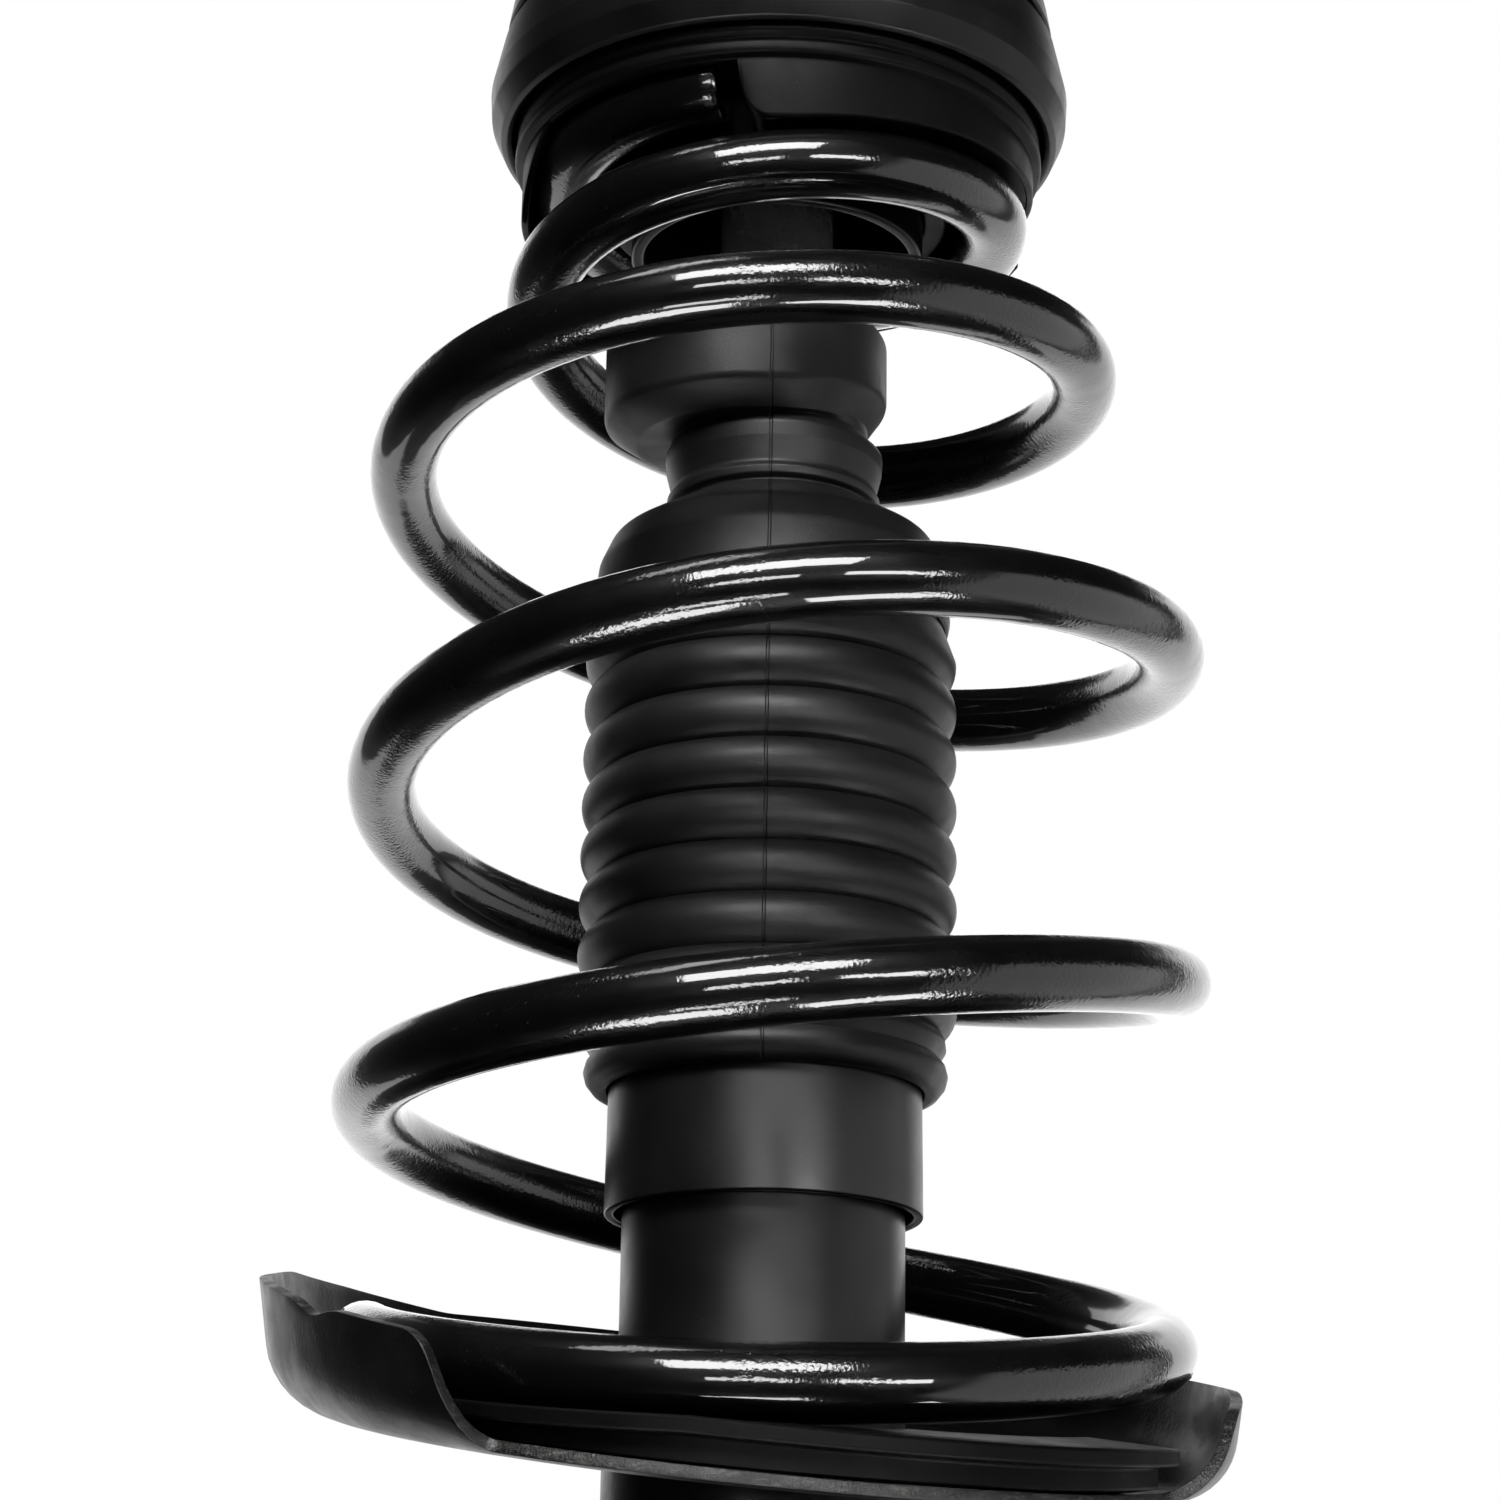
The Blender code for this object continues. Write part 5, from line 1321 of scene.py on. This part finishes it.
@dataclass
class TopMount:
    """Three-lobed plate, rubber cup and the fastenings on top.

    Attributes:
        cup: outer radius of the cup.
        mouth: radius of its opening.
        sheet: thickness of the cup.
        core: outer radius of the steel core.
        circle: radius of the stud circle.
        lobe: radius of the plate round each stud.
        stud: radius of the studs.
        angles: plan angles of the studs.
    """

    cup: float = 34.0 * MM
    mouth: float = 21.0 * MM
    sheet: float = 2.5 * MM
    core: float = 15.0 * MM
    circle: float = 56.0 * MM
    lobe: float = 15.0 * MM
    stud: float = 4.0 * MM
    angles: tuple[float, ...] = (90.0, 210.0, 330.0)

    def build(self) -> None:
        """Build the plate, the rubber and its core, and the fastenings."""
        self._plate()
        self._rubber()
        self._rod_fastening()
        for number, angle in enumerate(self.angles, 1):
            self._stud(number, self._centre(angle))

    def _centre(self, angle: float) -> tuple[float, float]:
        """Plan place of a stud."""
        return self.circle * math.cos(math.radians(angle)), self.circle * math.sin(math.radians(angle))

    def _plate(self) -> None:
        """Press the plate, drill it and raise its cup."""
        outline: Outline = []
        for angle in self.angles:
            outline += arc(self._centre(angle), self.lobe, angle - 62, angle + 62, 20)
        plate = pressed("tower_plate", outline, PLATE_LEVEL, PLATE_TOP, edge=0.6 * MM)
        low, high = PLATE_LEVEL - 1 * MM, PLATE_TOP + 1 * MM
        well = drill("well", self.cup - 1.25 * MM, low, high)
        holes = [drill(f"hole_{k}", self.stud + GAP, low, high, Turn.SMALL, self._centre(angle))
                 for k, angle in enumerate(self.angles)]
        combine(plate, [well, *holes])
        wall, roof = self.cup - self.sheet, CUP_TOP - self.sheet
        shell = turned("cup", [(self.mouth, CUP_TOP, 0.8 * MM), (self.cup, CUP_TOP, 3.5 * MM),
                               (self.cup, PLATE_LEVEL), (wall, PLATE_LEVEL),
                               (wall, roof, 1.2 * MM), (self.mouth, roof, 0.8 * MM)])
        combine(plate, [shell], "UNION")
        install(plate, Body.TOP_MOUNT, SATIN_BLACK, "satin_black", "mount_plate")

    def _rubber(self) -> None:
        """Mould the rubber with its rounded waist and turn the core."""
        inner, outer = self.core + GAP, self.cup - self.sheet - GAP
        foot, top = PLATE_LEVEL + GAP, CUP_TOP - self.sheet - GAP
        waist = (inner + outer) / 2
        outline = [(inner, top, 1 * MM), (waist, top - 2.5 * MM, 5 * MM), (outer - 0.5 * MM, top, 1 * MM),
                   (outer, top - 1.5 * MM), (outer, foot, 1 * MM), (waist + 4 * MM, foot, 1 * MM),
                   (waist, foot + 2.5 * MM, 3 * MM), (waist - 4 * MM, foot, 1 * MM), (inner, foot, 1 * MM)]
        install(turned("cup_rubber", outline, Turn.MEDIUM), Body.TOP_MOUNT, PAD_RUBBER, "isolator_rubber",
                "mount_rubber")
        bore, low, high = ROD_END_RADIUS + GAP, SHOULDER + GAP, CUP_TOP + 1 * MM
        install(turned("core", [(self.core, high, 1 * MM), (self.core, low, 0.8 * MM), (bore, low, 0.4 * MM),
                                (bore, high, 0.4 * MM)], Turn.MEDIUM),
                Body.TOP_MOUNT, TURNED_STEEL, "drawn_steel", "mount_core")

    def _rod_fastening(self) -> None:
        """Turn the washer and cut the hexagon nut, chamfered on both faces."""
        bore, foot = ROD_END_RADIUS + GAP, CUP_TOP + 1 * MM + GAP
        edge, top = 19.0 * MM, foot + 3 * MM
        install(turned("washer", [(edge, top, 0.8 * MM), (edge, foot, 0.4 * MM),
                                  (bore, foot, 0.3 * MM), (bore, top, 0.3 * MM)], Turn.MEDIUM),
                Body.TOP_MOUNT, ZINC, "zinc_steel", "rod_washer")
        low, high, across = top + GAP, top + GAP + 11.5 * MM, 12.4 * MM
        nut = pressed("nut", arc((0, 0), across, 0, 300, 5), low, high)
        cone = turned("nut_cone", [(0, high), (across - 1.6 * MM, high), (across + 1.2 * MM, high - 1.7 * MM),
                                   (across + 1.2 * MM, low + 1.7 * MM), (across - 1.6 * MM, low), (0, low)])
        combine(nut, [cone], "INTERSECT")
        bit = turned("nut_drill", [(0, high + 1 * MM), (bore + 2.3 * MM, high + 1 * MM),
                                   (bore, high - 1.3 * MM), (bore, low - 1 * MM), (0, low - 1 * MM)])
        combine(nut, [bit])
        install(nut, Body.TOP_MOUNT, ZINC, "zinc_steel", "rod_nut")

    def _stud(self, number: int, centre: tuple[float, float]) -> None:
        """Turn a pressed-in stud with a grooved thread."""
        head_top, start, tip = PLATE_LEVEL - GAP, PLATE_TOP + 4.0 * MM, PLATE_TOP + 24.0 * MM
        grooves = thread(self.stud, 0.45 * MM, 1.25 * MM, start, tip - 1.2 * MM)
        outline = [(0, tip), (self.stud - 1.0 * MM, tip, 0.2 * MM), *grooves, (self.stud, start - 0.8 * MM),
                   (self.stud, head_top, 0.2 * MM), (7.5 * MM, head_top, 0.4 * MM),
                   (7.5 * MM, head_top - 2.8 * MM, 0.6 * MM), (0, head_top - 2.8 * MM)]
        install(turned(f"tower_stud_{number}", outline, Turn.SMALL, centre), Body.TOP_MOUNT, ZINC,
                "zinc_steel", f"stud_{number}")


# ---------------------------------------------------------------- brackets


@dataclass
class Brackets:
    """The knuckle bracket with its liner, and the two tabs above it.

    Attributes:
        slot: width between the liner's ears.
        ear: thickness of the bracket.
        liner: thickness of the liner.
        reach: how far the ears stand out.
        base: height of their lower edge.
        bolts: place of the bolt holes in Y and Z.
        bolt: radius of the holes.
        ear_round: radius of the ears round the bolts.
    """

    slot: float = 40.0 * MM
    ear: float = 4.0 * MM
    liner: float = 3.0 * MM
    reach: float = 83.0 * MM
    base: float = 13.0 * MM
    bolts: tuple[tuple[float, float], ...] = ((-68.0 * MM, 31.0 * MM), (-68.0 * MM, 85.0 * MM))
    bolt: float = 7.2 * MM
    ear_round: float = 15.0 * MM

    def build(self) -> None:
        """Press the four pieces."""
        self._wrap()
        self._channel()
        self._link_tab()
        self._hose_shelf()

    def _trim(self, obj: bpy.types.Object, back: float) -> None:
        """Trim a sheet to the ears' outline and drill it."""
        low, high = self.bolts
        top = high[1] + self.ear_round
        outline = ([(back, self.base), (back, top - 2 * MM), (low[0] / 2, top - 2 * MM)]
                   + arc(high, self.ear_round, 90, 200, 16)
                   + [(-self.reach + 6 * MM, (low[1] + high[1]) / 2)]
                   + arc(low, self.ear_round, 160, 270, 16) + [(low[0] / 2, self.base)])
        far = 60 * MM
        combine(obj, [pressed("ear_outline", outline, -far, far, "X")], "INTERSECT")
        drills = [pressed(f"drill_{k}", arc(hole, self.bolt, 0, 352.5, 47), -far, far, "X")
                  for k, hole in enumerate(self.bolts)]
        combine(obj, drills, edge=0.5 * MM)

    def _span(self) -> tuple[float, float]:
        """Heights between which a sheet is pressed before it is trimmed."""
        return self.base - 2 * MM, self.bolts[1][1] + self.ear_round + 2 * MM

    def _wrap(self) -> None:
        """Press the outer sheet round the tube."""
        wall, radius = self.slot / 2 + self.liner + GAP, TUBE_RADIUS + GAP
        end = self.reach + 5 * MM

        def face(x: float, r: float) -> Outline:
            """One face of the sheet: ear, round the tube, ear."""
            start = math.degrees(math.acos(x / r))
            return [(x, -end)] + arc((0, 0), r, -start, 180 + start, 96) + [(-x, -end)]

        outline = face(wall + self.ear, radius + self.ear) + face(wall, radius)[::-1]
        sheet = pressed("ear_wrap", outline, *self._span())
        self._trim(sheet, TUBE_RADIUS + 2 * self.ear)
        install(sheet, Body.DAMPER, BLACK_COAT, "black_coat", "knuckle_bracket")

    def _channel(self) -> None:
        """Press the channel that lines the ears."""
        half, face, end = self.slot / 2, -TUBE_RADIUS - GAP, -self.reach - 5 * MM
        bend, thin = 5 * MM, self.liner
        middle = (half + thin - bend, face - bend)
        right = [(half + thin, end)] + arc(middle, bend, 0, 90, 14)
        inside = [(half, end)] + arc(middle, bend - thin, 0, 90, 10)
        outline = right + [(-x, y) for x, y in right[::-1]] + [(-x, y) for x, y in inside] + inside[::-1]
        channel = pressed("ear_channel", outline, *self._span())
        self._trim(channel, face + 1 * MM)
        install(channel, Body.DAMPER, BLACK_COAT, "black_coat", "bracket_liner")

    def _link_tab(self) -> None:
        """Press the saddle and tab for the anti-roll bar's link."""
        radius, wall, half, low, tall = TUBE_RADIUS + GAP, 3.0 * MM, 2.5 * MM, 112.0 * MM, 30.0 * MM
        hole = (radius + wall + 19.0 * MM, low + tall / 2)
        outer = arc((0, 0), radius + wall, -32, 32, 64)
        end = hole[0] + tall / 2
        tab = [(radius + wall, -half), (end, -half), (end, half), (radius + wall, half)]
        plan = ([point for point in outer if point[1] < -half] + tab
                + [point for point in outer if point[1] > half] + arc((0, 0), radius, 32, -32, 64))
        piece = pressed("link_tab", plan, low, low + tall)
        side = ([(0, low - 1 * MM), (radius + wall, low - 1 * MM)] + arc(hole, tall / 2 - 2 * MM, -90, 90, 32)
                + [(radius + wall, low + tall + 1 * MM), (0, low + tall + 1 * MM)])
        combine(piece, [pressed("tab_side", side, -radius, radius, "Y")], "INTERSECT")
        bit = pressed("tab_drill", arc(hole, 5.2 * MM, 0, 352.5, 47), -radius, radius, "Y")
        combine(piece, [bit], edge=0.5 * MM)
        install(piece, Body.DAMPER, BLACK_COAT, "black_coat", "link_bracket")

    def _hose_shelf(self) -> None:
        """Press the saddle and the notched shelf that holds the brake hose."""
        radius, sheet, level, notch = TUBE_RADIUS + GAP, 2.6 * MM, 124.0 * MM, 6.0 * MM
        saddle = arc((0, 0), radius + sheet, 152, 208, 48) + arc((0, 0), radius, 208, 152, 48)
        piece = pressed("hose_tab", saddle, level - 16 * MM, level + sheet)
        root, end = radius + sheet - 1 * MM, radius + 34.0 * MM
        shelf = ([(-root, 9 * MM), (-end + 14 * MM, 13 * MM), (-end, 13 * MM), (-end, notch - 1 * MM)]
                 + arc((-end + 10 * MM, 0.0), notch, 120, -120, 40)
                 + [(-end, -notch + 1 * MM), (-end, -13 * MM), (-end + 14 * MM, -13 * MM), (-root, -9 * MM)])
        combine(piece, [pressed("shelf", shelf, level, level + sheet)], "UNION", edge=0.4 * MM)
        install(piece, Body.DAMPER, BLACK_COAT, "black_coat", "hose_bracket")


# ---------------------------------------------------------------- inner pieces and studio


def dress_inner_nodes() -> None:
    """Give each CAD node that stays its finish."""
    finishes = {
        "bearing_upper_race": TURNED_STEEL, "bearing_lower_race": TURNED_STEEL, "bearing_balls": TURNED_STEEL,
        "piston": SINTERED_IRON, "piston_ring": RING_PLASTIC, "piston_nut": TURNED_STEEL,
        "rebound_stop": RING_PLASTIC, "pressure_cylinder": TURNED_STEEL, "base_valve": SINTERED_IRON,
        "rod_guide": SINTERED_IRON, "guide_bush": BRONZE, "rod_seal": PAD_RUBBER, "jounce_bumper": STOP_FOAM}
    for name, finish in finishes.items():
        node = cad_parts[name]
        node.data.materials.clear()
        node.data.materials.append(finish.material())
        log.info("%s: CAD node in %s", name, finish.name)


def direction(azimuth: float, elevation: float) -> Vector:
    """Unit vector towards a place round the object.

    Args:
        azimuth: degrees from the camera's side, positive to the right.
        elevation: degrees above the horizon.

    Returns:
        The vector.
    """
    a, e = math.radians(azimuth), math.radians(elevation)
    return Vector((math.sin(a) * math.cos(e), -math.cos(a) * math.cos(e), math.sin(e)))


@dataclass(frozen=True)
class Panel:
    """A flat light or card as gloss sees it, far away in the world.

    Attributes:
        azimuth: where its middle is, in degrees from the camera's side, positive to the right.
        elevation: how high that is, in degrees.
        width: half its width, as an angle.
        height: half its height, as an angle.
        strength: its brightness.
        soft: width of its soft rim, as an angle.
        roll: how far it is turned about its own middle.
    """

    azimuth: float
    elevation: float
    width: float
    height: float
    strength: float
    soft: float = 1.0
    roll: float = 0.0

    def brightness(self, net: NodeNet, toward: object) -> bpy.types.NodeSocket:
        """The panel's brightness over all directions.

        Args:
            net: the world's nodes.
            toward: the direction looked at.

        Returns:
            Its strength inside its outline and 0 outside.
        """
        middle = direction(self.azimuth, self.elevation)
        across = middle.cross(Vector((0, 0, 1))).normalized()
        across.rotate(Quaternion(middle, math.radians(self.roll)))
        ahead = net.dot(toward, middle)
        value: object = net.math("MULTIPLY", net.math("GREATER_THAN", ahead, 0.05), self.strength)
        for axis, half in ((across, self.width), (across.cross(middle), self.height)):
            off = net.math("ABSOLUTE", net.math("DIVIDE", net.dot(toward, axis), ahead))
            rim = [math.tan(math.radians(half + side * self.soft)) for side in (-1, 1)]
            value = net.math("MULTIPLY", value, net.ramp(off, *rim, 1.0, 0.0))
        return value


@dataclass
class Studio:
    """Camera, floor, lamps and the white surroundings.

    Attributes:
        focal: the photograph's focal length in pixels of a 1500-pixel frame.
        target: the point that the camera looks at.
        distance: from the camera to it.
        rise: how far the camera looks up.
        roll: how far the image is turned clockwise.
        offset: how far right of the middle the target stands, as a share of the frame.
        panels: lights and cards that gloss sees in front of the object.
        backdrop: brightness of the lit backdrop as gloss sees it.
        dark: brightness of the rest of the room as gloss sees it.
        level: plain light from all around.
        lamp_distance: from the target to each lamp.
    """

    focal: float = 3559.0
    target: Vector = field(default_factory=lambda: Vector((0.0, 0.0, 0.304)))
    distance: float = 0.667
    rise: float = 17.6
    roll: float = 0.8
    offset: float = 20 / 1500
    panels: tuple[Panel, ...] = (
        Panel(-3, 37, 19, 11, 20.0, 0.5), Panel(-4, -2, 11, 4.0, 16.0, 0.5),
        Panel(31, -2, 12.5, 4.5, 20.0, 0.5), Panel(-5, -54, 12, 3.5, 14.0, 0.5),
        Panel(-36, -72, 12, 9, 18.0, 0.5, -36),
        Panel(70, -64, 12, 7, 18.0, 0.5, 70), Panel(-70, 72, 12, 5, 5.0, 0.5, -70),
        Panel(90, -14, 34, 32, 1.0, 5.0))
    backdrop: float = 1.45
    dark: float = 0.012
    level: float = 0.16
    lamp_distance: float = 1.6

    def build(self) -> None:
        """Set up everything but the object."""
        self._camera()
        self._floor()
        self._lamps()
        self._surroundings()
        bpy.context.scene.view_settings.view_transform = "Standard"

    def _camera(self) -> None:
        """Place the camera below the spring, looking up."""
        data = bpy.data.cameras.new("camera")
        data.sensor_width = 36.0
        data.lens = self.focal / 1500 * data.sensor_width
        data.shift_x = -self.offset
        data.clip_start, data.clip_end = 0.01, 50.0
        camera = bpy.data.objects.new("camera", data)
        bpy.context.scene.collection.objects.link(camera)
        tilt = math.radians(self.rise)
        ahead = Vector((0, math.cos(tilt), math.sin(tilt)))
        camera.location = self.target - ahead * self.distance
        camera.rotation_mode = "QUATERNION"
        upright = Quaternion((1, 0, 0), math.radians(90) + tilt)
        camera.rotation_quaternion = upright @ Quaternion((0, 0, 1), math.radians(self.roll))
        bpy.context.scene.camera = camera

    def _floor(self) -> None:
        """Lay a pale floor under the tube's base, with a little light of its own to keep it level."""
        bm = bmesh.new()
        bmesh.ops.create_grid(bm, x_segments=1, y_segments=1, size=4.0)
        bmesh.ops.translate(bm, verts=bm.verts, vec=(0, 0, -0.4 * MM))
        floor = mesh_object(bm, "floor", sharp=None)
        material = bpy.data.materials.new("pale_floor")
        material.use_nodes = True
        shader = material.node_tree.nodes["Principled BSDF"]
        for key, value in (("Base Color", (0.25, 0.25, 0.25, 1.0)), ("Roughness", 0.9),
                           ("Specular IOR Level", 0.0), ("Emission Color", (1.0, 1.0, 1.0, 1.0)),
                           ("Emission Strength", 0.6)):
            shader.inputs[key].default_value = value
        floor.data.materials.append(material)
        floor.visible_glossy = False
        floor.visible_diffuse = False

    def _lamps(self) -> None:
        """Hang broad soft lamps to the front, both sides and the back."""
        for name, azimuth, elevation, size, power in (
                ("front", -10.0, 42.0, 0.9, 27.0), ("left", -75.0, 30.0, 0.8, 9.0),
                ("right", 70.0, 25.0, 0.8, 10.0), ("back", 170.0, 35.0, 1.2, 12.0)):
            data = bpy.data.lights.new(f"{name}_lamp", "AREA")
            data.size, data.energy = size, power
            lamp = bpy.data.objects.new(f"{name}_lamp", data)
            bpy.context.scene.collection.objects.link(lamp)
            out = direction(azimuth, elevation)
            lamp.location = self.target + out * self.lamp_distance
            lamp.rotation_mode = "QUATERNION"
            lamp.rotation_quaternion = out.to_track_quat("Z", "Y")
            lamp.visible_camera = lamp.visible_glossy = False

    def _surroundings(self) -> None:
        """White to the camera; to gloss, white behind the object and panels on dark in front."""
        world = bpy.data.worlds.new("studio")
        bpy.context.scene.world = world
        world.use_nodes = True
        world.node_tree.nodes.clear()
        net = NodeNet(world.node_tree)
        toward = net.add("ShaderNodeTexCoord").outputs["Generated"]
        axes = net.add("ShaderNodeSeparateXYZ")
        net.join(toward, axes.inputs["Vector"])
        x, y, z = axes.outputs
        azimuth = net.math("DEGREES", net.math("ARCTAN2", x, net.math("MULTIPLY", y, -1.0)))
        elevation = net.math("DEGREES", net.math("ARCSINE", z))
        behind = net.math("MULTIPLY", net.ramp(net.math("ABSOLUTE", azimuth), 132.0, 135.0), self.backdrop)
        over, under = net.ramp(elevation, -38.0, -35.0), net.ramp(elevation, 30.0, 36.0, 1.0, 0.0)
        band = net.math("MULTIPLY", over, under)
        gloss = net.math("ADD", net.math("MULTIPLY", behind, band), self.dark)
        for panel in self.panels:
            gloss = net.math("ADD", gloss, panel.brightness(net, toward))
        rays = net.add("ShaderNodeLightPath")
        mirrored = net.math("MAXIMUM", rays.outputs["Is Glossy Ray"], rays.outputs["Is Transmission Ray"])
        unseen = net.mix(mirrored, (self.level, self.level, self.level, 1.0), gloss)
        colour = net.mix(rays.outputs["Is Camera Ray"], unseen, (1.0, 1.0, 1.0, 1.0))
        background, output = net.add("ShaderNodeBackground"), net.add("ShaderNodeOutputWorld")
        net.join(colour, background.inputs["Color"])
        net.join(background.outputs["Background"], output.inputs["Surface"])


def main() -> None:
    """Build and dress the strut, then its studio."""
    logging.basicConfig(level=logging.INFO, format="%(name)s: %(message)s")
    spring = CoilSpring()
    spring.build()
    DustBoot().build()
    UpperSeat(spring).build()
    LowerSeat(spring).build()
    Damper().build()
    TopMount().build()
    Brackets().build()
    dress_inner_nodes()
    Studio().build()


if __name__ == "__main__":
    main()
